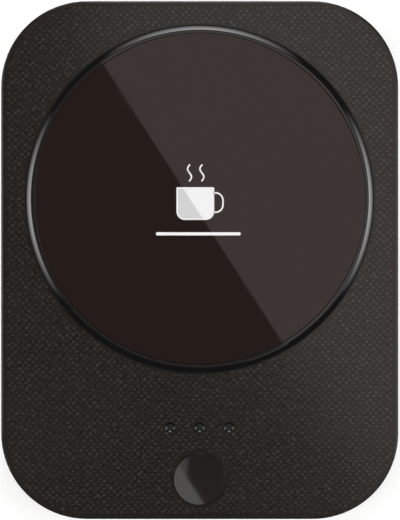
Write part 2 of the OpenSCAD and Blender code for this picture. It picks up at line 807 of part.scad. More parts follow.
module power_transistor() {
    body = [6.6, 6.1, 2.3];
    color("#222222") translate([transistor_x, button_y + 5, board_z]) {
        translate([-body[0] / 2, -body[1] / 2, 0]) cube(body);
        translate([-body[0] / 2 + 0.6, body[1] / 2 - fuse, 0]) cube([body[0] - 1.2, 1.2 + fuse, 0.5]);
        for (x = [-2.28, 2.28]) translate([x - 0.4, -body[1] / 2 - 2.6, 0]) cube([0.8, 2.8, 0.5]);
    }
}

module capacitor() {
    color("#274060") translate([capacitor_x, button_y + 5, board_z]) {
        cylinder(r = 3.1, h = 5.4);
        translate([-3.3, -3.3, 0]) cube([6.6, 6.6, 0.8]);
    }
}

// A wire housing with an open mouth in its front face, for a plug latch
module connector(place, low_z) {
    color("#efece2") translate([place[0], place[1], low_z]) difference() {
        translate([0, 0, connector_size[2] / 2]) cube(connector_size, center = true);
        translate([0, -connector_size[1] / 2, connector_size[2] - 0.6])
            cube([connector_size[0] - 2, 1.6, 2], center = true);
    }
}

module power_connector() connector([power_connector_x, connector_y], board_z);

module heater_connector() connector([heater_connector_x, connector_y], board_z);

module sensor_connector() connector([sensor_connector_x, connector_y], board_z);

// ---- lamps ----

module led(i) {
    color("#f4f1e6") translate([i * lamp_pitch, lamp_y, board_z]) difference() {
        translate([-led_size[0] / 2, -led_size[1] / 2, 0]) cube(led_size);
        translate([0, 0, led_size[2] - 0.6]) cylinder(r1 = 0.8, r2 = 1.3, h = 0.8);
    }
}

// A stepped rod; its tip is dished, with a sloping margin round a flat
module light_pipe(i) {
    color("#8d8f94") translate([i * lamp_pitch, lamp_y, 0]) rotate_extrude()
        polygon([[0, pipe_low_z], [pipe_r, pipe_low_z], [pipe_r, ceiling_z], [pipe_tip_r, ceiling_z],
            [pipe_tip_r, pipe_rim_z], [pipe_tip_r - pipe_rim, pipe_rim_z],
            [dish_flat_r, pipe_rim_z - pipe_dish], [0, pipe_rim_z - pipe_dish]]);
}

// ---- switch and button ----

module switch_body() {
    well_z = plunger_low_z - button_travel - 0.3;
    color("#2a2a2a") translate([0, button_y, 0]) difference() {
        union() {
            translate([-switch_w / 2, -switch_w / 2, board_z]) cube([switch_w, switch_w, switch_h]);
            translate([0, 0, switch_z - fuse]) cylinder(r = plunger_r + 1.2, h = switch_neck_h + fuse);
        }
        translate([0, 0, well_z]) cylinder(r = plunger_r + plunger_gap, h = switch_neck_z - well_z + cut);
    }
}

module switch_plunger() {
    color("#a8322c") translate([0, button_y, plunger_low_z])
        rotate_extrude() edge_section(plunger_r, plunger_top_z - plunger_low_z, 0.3, 0);
}

// Dished cap with a hollow skirt, a stem on the plunger, a stop flange and two keys
module button_cap() {
    face_t = 1.2;
    roof_z = body_h - dish_depth - face_t;
    stem_r = plunger_r - 0.6;
    color("#121213") translate([0, button_y, 0]) {
        difference() {
            translate([0, 0, button_flange_z])
                rotate_extrude() edge_section(button_r, body_h - button_flange_z, 0.1, 0);
            translate([0, 0, body_h - dish_depth + dish_r]) sphere(r = dish_r, $fn = 360);
            translate([0, 0, button_flange_z - cut])
                cylinder(r = button_inner_r, h = roof_z - button_flange_z + cut);
        }
        translate([0, 0, button_flange_z]) band(button_flange_r, button_inner_r + fuse, button_flange_t);
        translate([0, 0, plunger_top_z]) cylinder(r = stem_r, h = roof_z - plunger_top_z + fuse);
        for (turn = [0, 90]) rotate([0, 0, turn])
            translate([-button_inner_r - fuse, -0.5, plunger_top_z + 1])
                cube([2 * (button_inner_r + fuse), 1, roof_z - plunger_top_z - 1 + fuse]);
        intersection() {
            translate([0, 0, guide_z]) key_bars(0);
            translate([0, 0, button_flange_z]) cylinder(r = key_out, h = ceiling_z - 0.4 - button_flange_z);
        }
    }
}

// ---- inlet ----

module inlet_board() {
    color("#1f5c3a") difference() {
        translate([0, inlet_board_y, inlet_board_z - board_t])
            corner_block(inlet_board_w, inlet_board_l, 2, board_t);
        at(inlet_places) translate([0, 0, inlet_board_z - board_t - cut])
            cylinder(r = screw_r + hole_gap, h = board_t + 2 * cut);
    }
}

module inlet_board_screws() {
    color("silver") at(inlet_places) translate([0, 0, inlet_board_z - board_t])
        screw(screw_r, board_t + screw_bite, screw_head_r, screw_head_h);
}

module inlet_connector() connector(inlet_connector_place, inlet_board_z);

module inlet_shell() {
    mid_y = (shell_mouth_y + shell_back_y) / 2;
    color("#c9ccd1") difference() {
        translate([0, mid_y, inlet_z]) round_bar(shell_w, shell_h, shell_l);
        translate([0, mid_y, inlet_z]) round_bar(shell_w - 2 * shell_t, shell_h - 2 * shell_t, shell_l + cut);
    }
}

// Block that closes the back of the shell, with the contact tongue
module inlet_tongue() {
    block_l = shell_l - tongue_l - 0.6;
    color("#1a1a1a") translate([0, shell_back_y, inlet_z]) {
        translate([0, block_l / 2, 0]) round_bar(shell_w - 2 * shell_t, shell_h - 2 * shell_t, block_l);
        translate([-tongue_w / 2, block_l - fuse, -tongue_t / 2]) cube([tongue_w, tongue_l + fuse, tongue_t]);
    }
}

// ---- leads ----

module power_leads() {
    x = inlet_connector_place[0];
    color("#8c1f1f") for (side = [-power_lead_apart, power_lead_apart]) lead([
        [x + side, inlet_face_y, inlet_wire_z],
        [x + side, inlet_face_y - lead_out, inlet_wire_z],
        [x + side, plate_y + 0.5 * pan_r, run_z],
        [(x + power_connector_x) / 2 + side, plate_y, run_z],
        [power_connector_x + side, plate_y - 0.63 * pan_r, run_z],
        [power_connector_x + side, connector_face_y + lead_out, board_wire_z],
        [power_connector_x + side, connector_face_y, board_wire_z]
    ], power_lead_r);
}

module heater_leads() {
    bend = 2 * heater_lead_r;
    ends = [heater_connector_x - heater_lead_apart, heater_connector_x + heater_lead_apart];
    color("#e3e0d8") for (k = [0, 1]) let (x = terminal_x[k], end_x = ends[k]) lead([
        [x, terminal_y, track_z - lead_gap],
        [x, terminal_y, tray_z + 0.8 * tray_t],
        [x + bend, terminal_y - 1.3 * bend, run_z],
        [(x + end_x) / 2 + 0.7 * bend, terminal_y - 3.7 * bend, run_z],
        [end_x, connector_face_y + lead_out, board_wire_z],
        [end_x, connector_face_y, board_wire_z]
    ], heater_lead_r);
}

module sensor_leads() {
    x = sensor_connector_x;
    color("#30302e") for (side = [-sensor_lead_apart, sensor_lead_apart]) lead([
        [side, plate_y, tray_z + tray_t / 2 - lead_gap],
        [side, plate_y, tray_z - 2 * thermistor_gap],
        [side - 0.5 * sensor_lead_sway, plate_y - 2 * thermistor_r, run_z],
        [x + side - 0.75 * sensor_lead_sway, plate_y - 0.37 * pan_r, run_z],
        [x + side - sensor_lead_sway, plate_y - 0.73 * pan_r, run_z],
        [x + side - 0.25 * sensor_lead_sway, plate_y - 1.05 * pan_r, board_wire_z],
        [x + side, connector_face_y + lead_out, board_wire_z],
        [x + side, connector_face_y, board_wire_z]
    ], sensor_lead_r);
}

base_cover();
top_cover();
plate_ring();
glass_plate();
glass_gasket();
heat_spreader();
heating_element();
insulation_disc();
heater_tray();
tray_screws();
thermistor();
thermal_fuse();
main_board();
main_board_screws();
control_chip();
power_transistor();
capacitor();
power_connector();
heater_connector();
sensor_connector();
led(-1);  // led_left
led(0);  // led_middle
led(1);  // led_right
light_pipe(-1);  // light_pipe_left
light_pipe(0);  // light_pipe_middle
light_pipe(1);  // light_pipe_right
switch_body();
switch_plunger();
button_cap();
inlet_board();
inlet_board_screws();
inlet_connector();
inlet_shell();
inlet_tongue();
power_leads();
heater_leads();
sensor_leads();
housing_screws();
foot(-1, -1);  // foot_front_left
foot(1, -1);  // foot_front_right
foot(-1, 1);  // foot_rear_left
foot(1, 1);  // foot_rear_right
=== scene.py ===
import math

import bmesh
import bpy
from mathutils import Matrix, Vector


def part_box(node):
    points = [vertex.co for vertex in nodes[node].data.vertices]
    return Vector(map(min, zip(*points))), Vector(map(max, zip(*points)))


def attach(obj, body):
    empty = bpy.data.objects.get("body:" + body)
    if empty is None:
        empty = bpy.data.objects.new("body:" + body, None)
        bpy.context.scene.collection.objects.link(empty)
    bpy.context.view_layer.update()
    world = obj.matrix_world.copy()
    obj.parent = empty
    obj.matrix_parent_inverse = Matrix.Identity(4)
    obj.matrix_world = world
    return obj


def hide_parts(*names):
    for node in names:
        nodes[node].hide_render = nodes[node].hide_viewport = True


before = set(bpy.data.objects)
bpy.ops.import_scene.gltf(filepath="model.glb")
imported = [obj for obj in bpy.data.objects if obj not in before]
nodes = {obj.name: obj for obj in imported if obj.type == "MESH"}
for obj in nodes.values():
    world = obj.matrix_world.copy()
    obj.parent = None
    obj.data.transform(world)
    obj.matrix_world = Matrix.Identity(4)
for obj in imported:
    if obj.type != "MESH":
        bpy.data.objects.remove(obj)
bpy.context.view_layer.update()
mm = 0.001


def middle(node):
    low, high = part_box(node)
    return (low + high) / 2


sides = ("left", "middle", "right")
plateAt = middle("glass_plate")
buttonAt = middle("button_cap")
lampAt = [middle("light_pipe_" + side) for side in sides]
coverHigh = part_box("top_cover")[1]  # half the width, half the length and the level of the top face
print("frame loaded, plate at", [round(v / mm, 2) for v in plateAt])

cameraView = {"place": (0.000075, 0.00003, 0.3841), "lens": 100, "sensor": 36, "nearest": 0.01}


def makeCamera(view):  # straight above the middle of the housing
    camera = bpy.data.objects.new("camera", bpy.data.cameras.new("camera"))
    camera.location = view["place"]
    camera.data.lens = view["lens"]
    camera.data.sensor_width = view["sensor"]
    camera.data.clip_start = view["nearest"]
    bpy.context.scene.collection.objects.link(camera)
    bpy.context.scene.camera = camera
    bpy.context.scene.view_settings.view_transform = "Standard"


makeCamera(cameraView)


# helpers for node trees

floatIn = "NodeSocketFloat"
wholeIn = "NodeSocketInt"
vectorIn = "NodeSocketVector"
shapeIn = "NodeSocketGeometry"
finishIn = "NodeSocketMaterial"


def addNode(tree, kind, settings=None, inputs=None):
    node = tree.nodes.new(kind)
    for key, value in (settings or {}).items():
        setattr(node, key, value)
    plugAll(tree, node.inputs, inputs or {})
    return node


def plug(tree, value, socket):  # a socket is linked, a plain value is set
    if isinstance(value, bpy.types.NodeSocket):
        tree.links.new(value, socket)
    else:
        socket.default_value = value


def plugAll(tree, sockets, values):
    for key, value in values.items():
        plug(tree, value, sockets[key])


def calc(tree, operation, a, b=None, c=None):
    node = addNode(tree, "ShaderNodeMath", {"operation": operation})
    for socket, value in zip(node.inputs, (a, b, c)):
        if value is not None:
            plug(tree, value, socket)
    return node.outputs[0]


def plus(tree, a, b):
    return calc(tree, "ADD", a, b)


def minus(tree, a, b):
    return calc(tree, "SUBTRACT", a, b)


def times(tree, a, b):
    return calc(tree, "MULTIPLY", a, b)


def hypotenuse(tree, a, b):
    return calc(tree, "SQRT", plus(tree, times(tree, a, a), times(tree, b, b)))


def ramp(tree, value, low, high, outLow=0.0, outHigh=1.0, smooth=True):
    node = addNode(tree, "ShaderNodeMapRange", {"interpolation_type": "SMOOTHSTEP" if smooth else "LINEAR"})
    for socket, given in zip(node.inputs[:5], (value, low, high, outLow, outHigh)):
        plug(tree, given, socket)
    return node.outputs[0]


def splitVector(tree, vector):
    return tuple(addNode(tree, "ShaderNodeSeparateXYZ", None, {0: vector}).outputs)


def joinVector(tree, x=0.0, y=0.0, z=0.0):
    return addNode(tree, "ShaderNodeCombineXYZ", None, {0: x, 1: y, 2: z}).outputs[0]


def vectorCalc(tree, operation, a, b):
    return addNode(tree, "ShaderNodeVectorMath", {"operation": operation}, {0: a, 1: b}).outputs[0]


def noise(tree, vector, scale, detail=2.0, roughness=0.5, distortion=0.0):
    return addNode(tree, "ShaderNodeTexNoise", None, {
        "Vector": vector, "Scale": scale, "Detail": detail, "Roughness": roughness,
        "Distortion": distortion}).outputs[0]


def blendColour(tree, factor, first, second):
    return addNode(tree, "ShaderNodeMix", {"data_type": "RGBA"}, {
        "Factor": factor, 6: first, 7: second}).outputs[2]


def newGroup(name, kind, inputs, outputs):  # inputs and outputs: a socket type for each label
    group = bpy.data.node_groups.new(name, kind)
    for direction, sockets in (("INPUT", inputs), ("OUTPUT", outputs)):
        for label, socketType in sockets.items():
            group.interface.new_socket(name=label, in_out=direction, socket_type=socketType)
    return group, group.nodes.new("NodeGroupInput").outputs, group.nodes.new("NodeGroupOutput").inputs


def useGroup(tree, group, inputs):
    return addNode(tree, "ShaderNodeGroup", {"node_tree": group}, inputs).outputs


# shader effects that several finishes share

grainLook = {"detail": 3.0, "roughness": 0.6, "broadShare": 0.2}
smudgeLook = {
    "detail": 4.0, "distortion": 0.4, "patches": (0.45, 0.7), "turn": 0.7, "stretch": 9, "streakDetail": 3.0,
    "streakScale": 0.6, "streaks": (0.4, 0.75),
}
streakLook = {"stretch": 0.04, "detail": 4.0, "patchScale": 90.0}


def makeGrain(look):  # fine uneven surface of moulded plastic, with a slow change of shade
    group, given, result = newGroup("mouldedGrain", "ShaderNodeTree",
        {"Vector": vectorIn, "Grain Size": floatIn, "Patch Size": floatIn},
        {"Height": floatIn, "Shade": floatIn})
    fineScale = calc(group, "DIVIDE", 1.0, given["Grain Size"])
    broadScale = calc(group, "DIVIDE", 1.0, given["Patch Size"])
    fine = noise(group, given["Vector"], fineScale, look["detail"], look["roughness"])
    broad = noise(group, given["Vector"], broadScale)
    share = look["broadShare"]
    shade = calc(group, "MULTIPLY_ADD", broad, share, times(group, fine, 1 - share))
    plugAll(group, result, {"Height": fine, "Shade": shade})
    return group


def makeSmudges(look):  # roughness that drifts, with a few faint wiped streaks
    group, given, result = newGroup("wipedSmudges", "ShaderNodeTree",
        {"Vector": vectorIn, "Size": floatIn, "Low": floatIn, "High": floatIn}, {"Roughness": floatIn})
    patchScale = calc(group, "DIVIDE", 1.0, given["Size"])
    streakScale = calc(group, "DIVIDE", look["streakScale"], given["Size"])
    patches = noise(group, given["Vector"], patchScale, look["detail"], distortion=look["distortion"])
    turned = addNode(group, "ShaderNodeMapping", None, {
        "Vector": given["Vector"], "Rotation": (0, 0, look["turn"]), "Scale": (1, look["stretch"], 1)})
    streaks = noise(group, turned.outputs[0], streakScale, look["streakDetail"])
    both = times(group, ramp(group, patches, *look["patches"]), ramp(group, streaks, *look["streaks"]))
    plug(group, ramp(group, both, 0.0, 1.0, given["Low"], given["High"], False), result["Roughness"])
    return group


def makeStreaks(look):  # rolled or turned metal: streaks along X of the given vector
    group, given, result = newGroup("metalStreaks", "ShaderNodeTree",
        {"Vector": vectorIn, "Width": floatIn}, {"Height": floatIn, "Shade": floatIn})
    drawn = addNode(group, "ShaderNodeMapping", None, {
        "Vector": given["Vector"], "Scale": (look["stretch"], 1, 1)})
    lines = noise(group, drawn.outputs[0], calc(group, "DIVIDE", 1.0, given["Width"]), look["detail"])
    broad = noise(group, given["Vector"], look["patchScale"])
    shade = calc(group, "MULTIPLY_ADD", lines, 0.5, times(group, broad, 0.5))
    plugAll(group, result, {"Height": lines, "Shade": shade})
    return group


def makeWallPlace():  # distance along the side wall, measured from the middle of a long side
    group, given, result = newGroup("placeOnWall", "ShaderNodeTree",
        {"Vector": vectorIn, "Half Width": floatIn, "Half Length": floatIn, "Corner": floatIn},
        {"Along": floatIn, "Up": floatIn})
    x, y, z = splitVector(group, given["Vector"])
    corner = given["Corner"]
    pastX = minus(group, calc(group, "ABSOLUTE", x), minus(group, given["Half Width"], corner))
    pastY = minus(group, calc(group, "ABSOLUTE", y), minus(group, given["Half Length"], corner))
    angle = calc(group, "ARCTAN2", calc(group, "MAXIMUM", pastY, 0.0), calc(group, "MAXIMUM", pastX, 0.0))
    onSide = calc(group, "MINIMUM", pastY, 0.0)
    onEnd = calc(group, "MINIMUM", pastX, 0.0)
    along = minus(group, plus(group, times(group, angle, corner), onSide), onEnd)
    plugAll(group, result, {"Along": along, "Up": z})
    return group


def makeDotLattice():  # staggered rows of small round dots
    group, given, result = newGroup("staggeredDots", "ShaderNodeTree",
        dict.fromkeys(("Along", "Up", "Pitch", "Row Step", "Radius", "Flat Share"), floatIn),
        {"Mask": floatIn, "Shade": floatIn})
    row = calc(group, "DIVIDE", given["Up"], given["Row Step"])
    rowNumber = calc(group, "FLOOR", row)
    odd = calc(group, "MODULO", calc(group, "ABSOLUTE", rowNumber), 2.0)
    column = calc(group, "MULTIPLY_ADD", odd, 0.5, calc(group, "DIVIDE", given["Along"], given["Pitch"]))
    columnNumber = calc(group, "FLOOR", column)
    alongOff = times(group, minus(group, calc(group, "FRACT", column), 0.5), given["Pitch"])
    upOff = times(group, minus(group, calc(group, "FRACT", row), 0.5), given["Row Step"])
    inner = times(group, given["Radius"], given["Flat Share"])
    mask = ramp(group, hypotenuse(group, alongOff, upOff), inner, given["Radius"], 1.0, 0.0)
    chance = addNode(group, "ShaderNodeTexWhiteNoise", {"noise_dimensions": "2D"}, {
        "Vector": joinVector(group, columnNumber, rowNumber)})
    plugAll(group, result, {"Mask": mask, "Shade": chance.outputs["Value"]})
    return group


def makeAxisDistance():  # distance from an upright axis
    group, given, result = newGroup("distanceFromAxis", "ShaderNodeTree",
        {"Vector": vectorIn, "Axis": vectorIn}, {"Distance": floatIn})
    x, y = splitVector(group, vectorCalc(group, "SUBTRACT", given["Vector"], given["Axis"]))[:2]
    plug(group, hypotenuse(group, x, y), result["Distance"])
    return group


axisGroup = makeAxisDistance()
grainGroup = makeGrain(grainLook)
smudgeGroup = makeSmudges(smudgeLook)
streakGroup = makeStreaks(streakLook)
wallGroup = makeWallPlace()
latticeGroup = makeDotLattice()
print("shared shader effects built")


# finishes

def startMaterial(name):
    material = bpy.data.materials.new(name)
    material.use_nodes = True
    tree = material.node_tree
    shader = tree.nodes["Principled BSDF"]
    place = tree.nodes.new("ShaderNodeTexCoord").outputs["Object"]
    return material, tree, shader, place


def grainAt(tree, place, grainSize, patchSize):
    return useGroup(tree, grainGroup, {"Vector": place, "Grain Size": grainSize, "Patch Size": patchSize})


def smudgeAt(tree, place, size, look):
    return useGroup(tree, smudgeGroup, {
        "Vector": place, "Size": size, "Low": look["rough"][0], "High": look["rough"][1]})


shadeSpan = (0.3, 0.7)  # where the noise has most of its values


def roughness(tree, shade, low, high):  # between two values, following the shade
    return ramp(tree, shade, *shadeSpan, low, high)


def bump(tree, height, strength, distance):
    return addNode(tree, "ShaderNodeBump", None, {
        "Height": height, "Strength": strength, "Distance": distance}).outputs[0]


def colour(r, g, b):
    return (r, g, b, 1.0)


dotLattice = {"pitch": 1.714, "rowStep": 0.857, "corner": 21.6}  # mm, on the top face and the side walls
mouldedLook = {
    "base": colour(0.0130, 0.0100, 0.0078), "second": colour(0.0226, 0.0181, 0.0149), "shades": (0.35, 0.65),
    "sheenTint": colour(0.86, 0.78, 0.74), "rough": (0.16, 0.21), "grain": 0.00045, "patch": 0.03,
    "bump": 0.12, "bumpDepth": 0.00003, "wallSlope": (0.35, 0.15),
    "wallDot": 0.00021, "wallDotFlat": 0.6, "wallDotHeight": 2.0,
    "dotLow": colour(0.0125, 0.0100, 0.0079), "dot": colour(0.0400, 0.0334, 0.0288),
    "dotSheen": colour(0.95, 0.88, 0.84), "dotSpecular": 0.7, "dotGrain": 0.0001, "dotPatch": 0.01,
    "dotChance": 0.8,
}


def mouldedPlastic(name, look, lattice):  # the housing: fine grain, and rows of dots on the side walls
    material, tree, shader, place = startMaterial(name)
    grain = grainAt(tree, place, look["grain"], look["patch"])
    wall = useGroup(tree, wallGroup, {
        "Vector": place, "Half Width": coverHigh.x, "Half Length": coverHigh.y,
        "Corner": lattice["corner"] * mm})
    dots = useGroup(tree, latticeGroup, {
        "Along": wall["Along"], "Up": wall["Up"], "Pitch": lattice["pitch"] * mm,
        "Row Step": lattice["rowStep"] * mm, "Radius": look["wallDot"], "Flat Share": look["wallDotFlat"]})
    upward = splitVector(tree, tree.nodes.new("ShaderNodeNewGeometry").outputs["Normal"])[2]
    dotMask = times(tree, dots["Mask"], ramp(tree, calc(tree, "ABSOLUTE", upward), *look["wallSlope"]))
    dotShade = times(tree, dotMask, calc(tree, "MULTIPLY_ADD", dots["Shade"], 0.5, 0.5))
    plain = blendColour(tree, ramp(tree, grain["Shade"], *look["shades"]), look["base"], look["second"])
    height = calc(tree, "MULTIPLY_ADD", dotMask, look["wallDotHeight"], grain["Height"])
    plugAll(tree, shader.inputs, {
        "Base Color": blendColour(tree, dotShade, plain, look["dot"]),
        "Roughness": roughness(tree, grain["Shade"], *look["rough"]),
        "Specular Tint": look["sheenTint"], "Normal": bump(tree, height, look["bump"], look["bumpDepth"])})
    return material


def dotPlastic(name, look):  # the raised dots of the top face, each a little lighter or darker
    material, tree, shader, place = startMaterial(name)
    chance = addNode(tree, "ShaderNodeAttribute", {"attribute_name": "dotShade"}).outputs["Fac"]
    grain = grainAt(tree, place, look["dotGrain"], look["dotPatch"])
    share = look["dotChance"]
    mixed = calc(tree, "MULTIPLY_ADD", chance, share, times(tree, grain["Shade"], 1 - share))
    plugAll(tree, shader.inputs, {
        "Base Color": blendColour(tree, mixed, look["dotLow"], look["dot"]),
        "Roughness": roughness(tree, grain["Shade"], *look["rough"]),
        "Specular Tint": look["dotSheen"], "Specular IOR Level": look["dotSpecular"]})
    return material


ringLook = {  # the flat land inside the bead is plainer and has no coat
    "base": colour(0.0030, 0.0028, 0.0028), "rough": (0.04, 0.09), "coatRough": 0.02,
    "landRadius": 0.04232, "landShade": colour(0.0198, 0.0184, 0.0168), "landSheen": colour(0.95, 0.94, 0.91),
}
buttonLook = {"base": colour(0.0132, 0.0098, 0.0088), "rough": (0.15, 0.19), "coatRough": 0.08}
glossGrain = {"grain": 0.002, "patch": 0.02, "smudge": 0.02, "lighter": 1.25, "blur": 0.0001}


def glossyPiece(name, look, axis=None):  # polished black mouldings, with faint smudges
    material, tree, shader, place = startMaterial(name)
    smudge = smudgeAt(tree, place, glossGrain["smudge"], look)
    grain = grainAt(tree, place, glossGrain["grain"], glossGrain["patch"])
    lighter = colour(*(c * glossGrain["lighter"] for c in look["base"][:3]))
    shade = blendColour(tree, grain["Shade"], look["base"], lighter)
    coat, sheen = 1.0, colour(1, 1, 1)
    if axis is not None:
        x, y = splitVector(tree, vectorCalc(tree, "SUBTRACT", place, axis))[:2]
        away = hypotenuse(tree, x, y)
        coat = ramp(tree, away, look["landRadius"], look["landRadius"] + glossGrain["blur"])
        shade = blendColour(tree, coat, look["landShade"], shade)
        sheen = blendColour(tree, coat, look["landSheen"], sheen)
    plugAll(tree, shader.inputs, {
        "Base Color": shade, "Roughness": smudge["Roughness"], "Specular Tint": sheen, "Coat Weight": coat,
        "Coat Roughness": look["coatRough"]})
    return material


glassLook = {
    "low": colour(0.0172, 0.0107, 0.0094), "high": colour(0.0202, 0.0124, 0.0108),
    "sheen": colour(0.90, 0.765, 0.73), "rough": (0.015, 0.05),
    "grain": 0.0008, "patch": 0.03, "smudge": 0.025,
}


def printedGlass(name, look):  # dark glass, printed on its underside
    material, tree, shader, place = startMaterial(name)
    grain = grainAt(tree, place, look["grain"], look["patch"])
    smudge = smudgeAt(tree, place, look["smudge"], look)
    plugAll(tree, shader.inputs, {
        "Base Color": blendColour(tree, grain["Shade"], look["low"], look["high"]),
        "Roughness": smudge["Roughness"], "Specular Tint": look["sheen"]})
    return material


matteGrain = {"patchTimes": 25, "depth": 0.3, "spread": 0.06}
metalGrain = {"depth": 0.00001, "smoother": 0.05, "rougher": 0.08}


def mattePiece(name, first, second, rough, grainSize, relief):  # rubber, felt, boards, plain mouldings
    material, tree, shader, place = startMaterial(name)
    grain = grainAt(tree, place, grainSize, grainSize * matteGrain["patchTimes"])
    shade = ramp(tree, grain["Shade"], *shadeSpan)
    spread = matteGrain["spread"]
    plugAll(tree, shader.inputs, {
        "Base Color": blendColour(tree, shade, colour(*first), colour(*second)),
        "Roughness": roughness(tree, grain["Shade"], rough - spread, rough + spread),
        "Normal": bump(tree, grain["Height"], relief, grainSize * matteGrain["depth"])})
    return material


def metalPiece(name, first, second, rough, width, relief):
    material, tree, shader, place = startMaterial(name)
    streaks = useGroup(tree, streakGroup, {"Vector": place, "Width": width})
    shade = streaks["Shade"]
    plugAll(tree, shader.inputs, {
        "Base Color": blendColour(tree, shade, colour(*first), colour(*second)), "Metallic": 1.0,
        "Roughness": roughness(tree, shade, rough - metalGrain["smoother"], rough + metalGrain["rougher"]),
        "Normal": bump(tree, streaks["Height"], relief, metalGrain["depth"])})
    return material


matteLooks = {  # by slot: name, two shades, roughness, size of the grain, relief
    "silicone": ("footRubber", (0.018, 0.018, 0.019), (0.03, 0.03, 0.031), 0.7, 0.0004, 0.4),
    "element_film": ("elementFilm", (0.33, 0.13, 0.03), (0.42, 0.19, 0.05), 0.3, 0.001, 0.1),
    "insulation_felt": ("insulationFelt", (0.52, 0.49, 0.42), (0.68, 0.65, 0.58), 0.9, 0.0003, 0.9),
    "circuit_board": ("circuitBoard", (0.010, 0.075, 0.035), (0.016, 0.105, 0.05), 0.35, 0.0012, 0.2),
    "chip_black": ("chipBlack", (0.012, 0.012, 0.012), (0.022, 0.022, 0.022), 0.5, 0.0002, 0.3),
    "connector_ivory": ("connectorIvory", (0.72, 0.67, 0.54), (0.80, 0.76, 0.64), 0.45, 0.0006, 0.2),
    "led_white": ("lampWhite", (0.75, 0.74, 0.66), (0.85, 0.83, 0.72), 0.4, 0.0006, 0.1),
    "plunger_red": ("plungerRed", (0.36, 0.025, 0.02), (0.45, 0.035, 0.028), 0.4, 0.0006, 0.2),
    "sensor_epoxy": ("sensorEpoxy", (0.02, 0.09, 0.035), (0.03, 0.13, 0.05), 0.3, 0.0008, 0.2),
    "lead_red": ("redLeadCover", (0.28, 0.012, 0.012), (0.36, 0.02, 0.018), 0.45, 0.0008, 0.2),
    "lead_white": ("whiteLeadCover", (0.70, 0.68, 0.62), (0.80, 0.78, 0.72), 0.45, 0.0008, 0.2),
    "lead_black": ("blackLeadCover", (0.015, 0.015, 0.015), (0.026, 0.026, 0.026), 0.45, 0.0008, 0.2),
}
metalLooks = {  # by slot: name, two shades, roughness, width of the streaks, relief
    "spreader_aluminium": ("spreaderAluminium", (0.62, 0.63, 0.65), (0.75, 0.76, 0.77), 0.35, 0.0003, 0.3),
    "tray_steel": ("trayPlatedSteel", (0.42, 0.43, 0.45), (0.56, 0.57, 0.58), 0.28, 0.0004, 0.3),
    "screw_steel": ("screwSteel", (0.50, 0.50, 0.51), (0.64, 0.64, 0.65), 0.25, 0.0002, 0.2),
}
housingPlastic = mouldedPlastic("housingPlastic", mouldedLook, dotLattice)
dotFinish = dotPlastic("raisedDotPlastic", mouldedLook)
ringBlack = glossyPiece("ringGlossBlack", ringLook, plateAt)
buttonBlack = glossyPiece("buttonGlossBlack", buttonLook)
plateGlass = printedGlass("printedPlateGlass", glassLook)
finishes = {"body_plastic": housingPlastic, "gloss_black": ringBlack, "plate_glass": plateGlass}
finishes.update((slot, mattePiece(*look)) for slot, look in matteLooks.items())
finishes.update((slot, metalPiece(*look)) for slot, look in metalLooks.items())
for node in nodes.values():
    for slot in node.material_slots:  # the light pipes get theirs further down
        slot.material = finishes.get(slot.material.name.split(".")[0], slot.material)
print("finishes assigned to", len(nodes), "nodes")


# helpers for pieces

def bakeNodes(source, name, tree, inputs):  # the tree's result as a plain mesh in a new object
    modifier = source.modifiers.new("build", "NODES")
    modifier.node_group = tree
    for item in tree.interface.items_tree:
        if item.in_out == "INPUT" and item.name in inputs:
            modifier[item.identifier] = inputs[item.name]
    graph = bpy.context.evaluated_depsgraph_get()
    mesh = bpy.data.meshes.new_from_object(source.evaluated_get(graph))
    source.modifiers.remove(modifier)
    bpy.data.objects.remove(source)
    mesh.name = name
    piece = bpy.data.objects.new(name, mesh)
    bpy.context.scene.collection.objects.link(piece)
    return piece


def meshPiece(name, points, edges, faces):
    mesh = bpy.data.meshes.new(name)
    mesh.from_pydata([tuple(p) for p in points], edges, faces)
    piece = bpy.data.objects.new(name, mesh)
    bpy.context.scene.collection.objects.link(piece)
    return piece


def tidyShell(piece, angle=30):  # outward faces, and smooth shading with sharp corners
    shape = bmesh.new()
    shape.from_mesh(piece.data)
    bmesh.ops.recalc_face_normals(shape, faces=shape.faces)
    shape.to_mesh(piece.data)
    shape.free()
    piece.data.shade_smooth()
    piece.data.set_sharp_from_angle(angle=math.radians(angle))
    return piece


def finishTree(tree, geometry, finish, result):  # the last two nodes of every tree
    realized = addNode(tree, "GeometryNodeRealizeInstances", None, {0: geometry})
    finished = addNode(tree, "GeometryNodeSetMaterial", None, {0: realized.outputs[0], "Material": finish})
    plug(tree, finished.outputs[0], result[0])


weldDistance = 0.000001


def makeTurnedTree():  # turns a section round the Z axis of the place given
    tree, given, result = newGroup("turnedSection", "GeometryNodeTree",
        {"Section": shapeIn, "Path Radius": floatIn, "Steps": wholeIn, "Place": vectorIn, "Finish": finishIn},
        {"Geometry": shapeIn})
    section = addNode(tree, "GeometryNodeMeshToCurve", None, {0: given["Section"]})
    path = addNode(tree, "GeometryNodeCurvePrimitiveCircle", None, {
        "Resolution": given["Steps"], "Radius": given["Path Radius"]})
    swept = addNode(tree, "GeometryNodeCurveToMesh", None, {
        "Curve": path.outputs[0], "Profile Curve": section.outputs[0]})
    merged = addNode(tree, "GeometryNodeMergeByDistance", None, {
        0: swept.outputs[0], "Distance": weldDistance})
    placed = addNode(tree, "GeometryNodeTransform", None, {
        0: merged.outputs[0], "Translation": given["Place"]})
    finishTree(tree, placed.outputs[0], given["Finish"], result)
    return tree


turnedTree = makeTurnedTree()


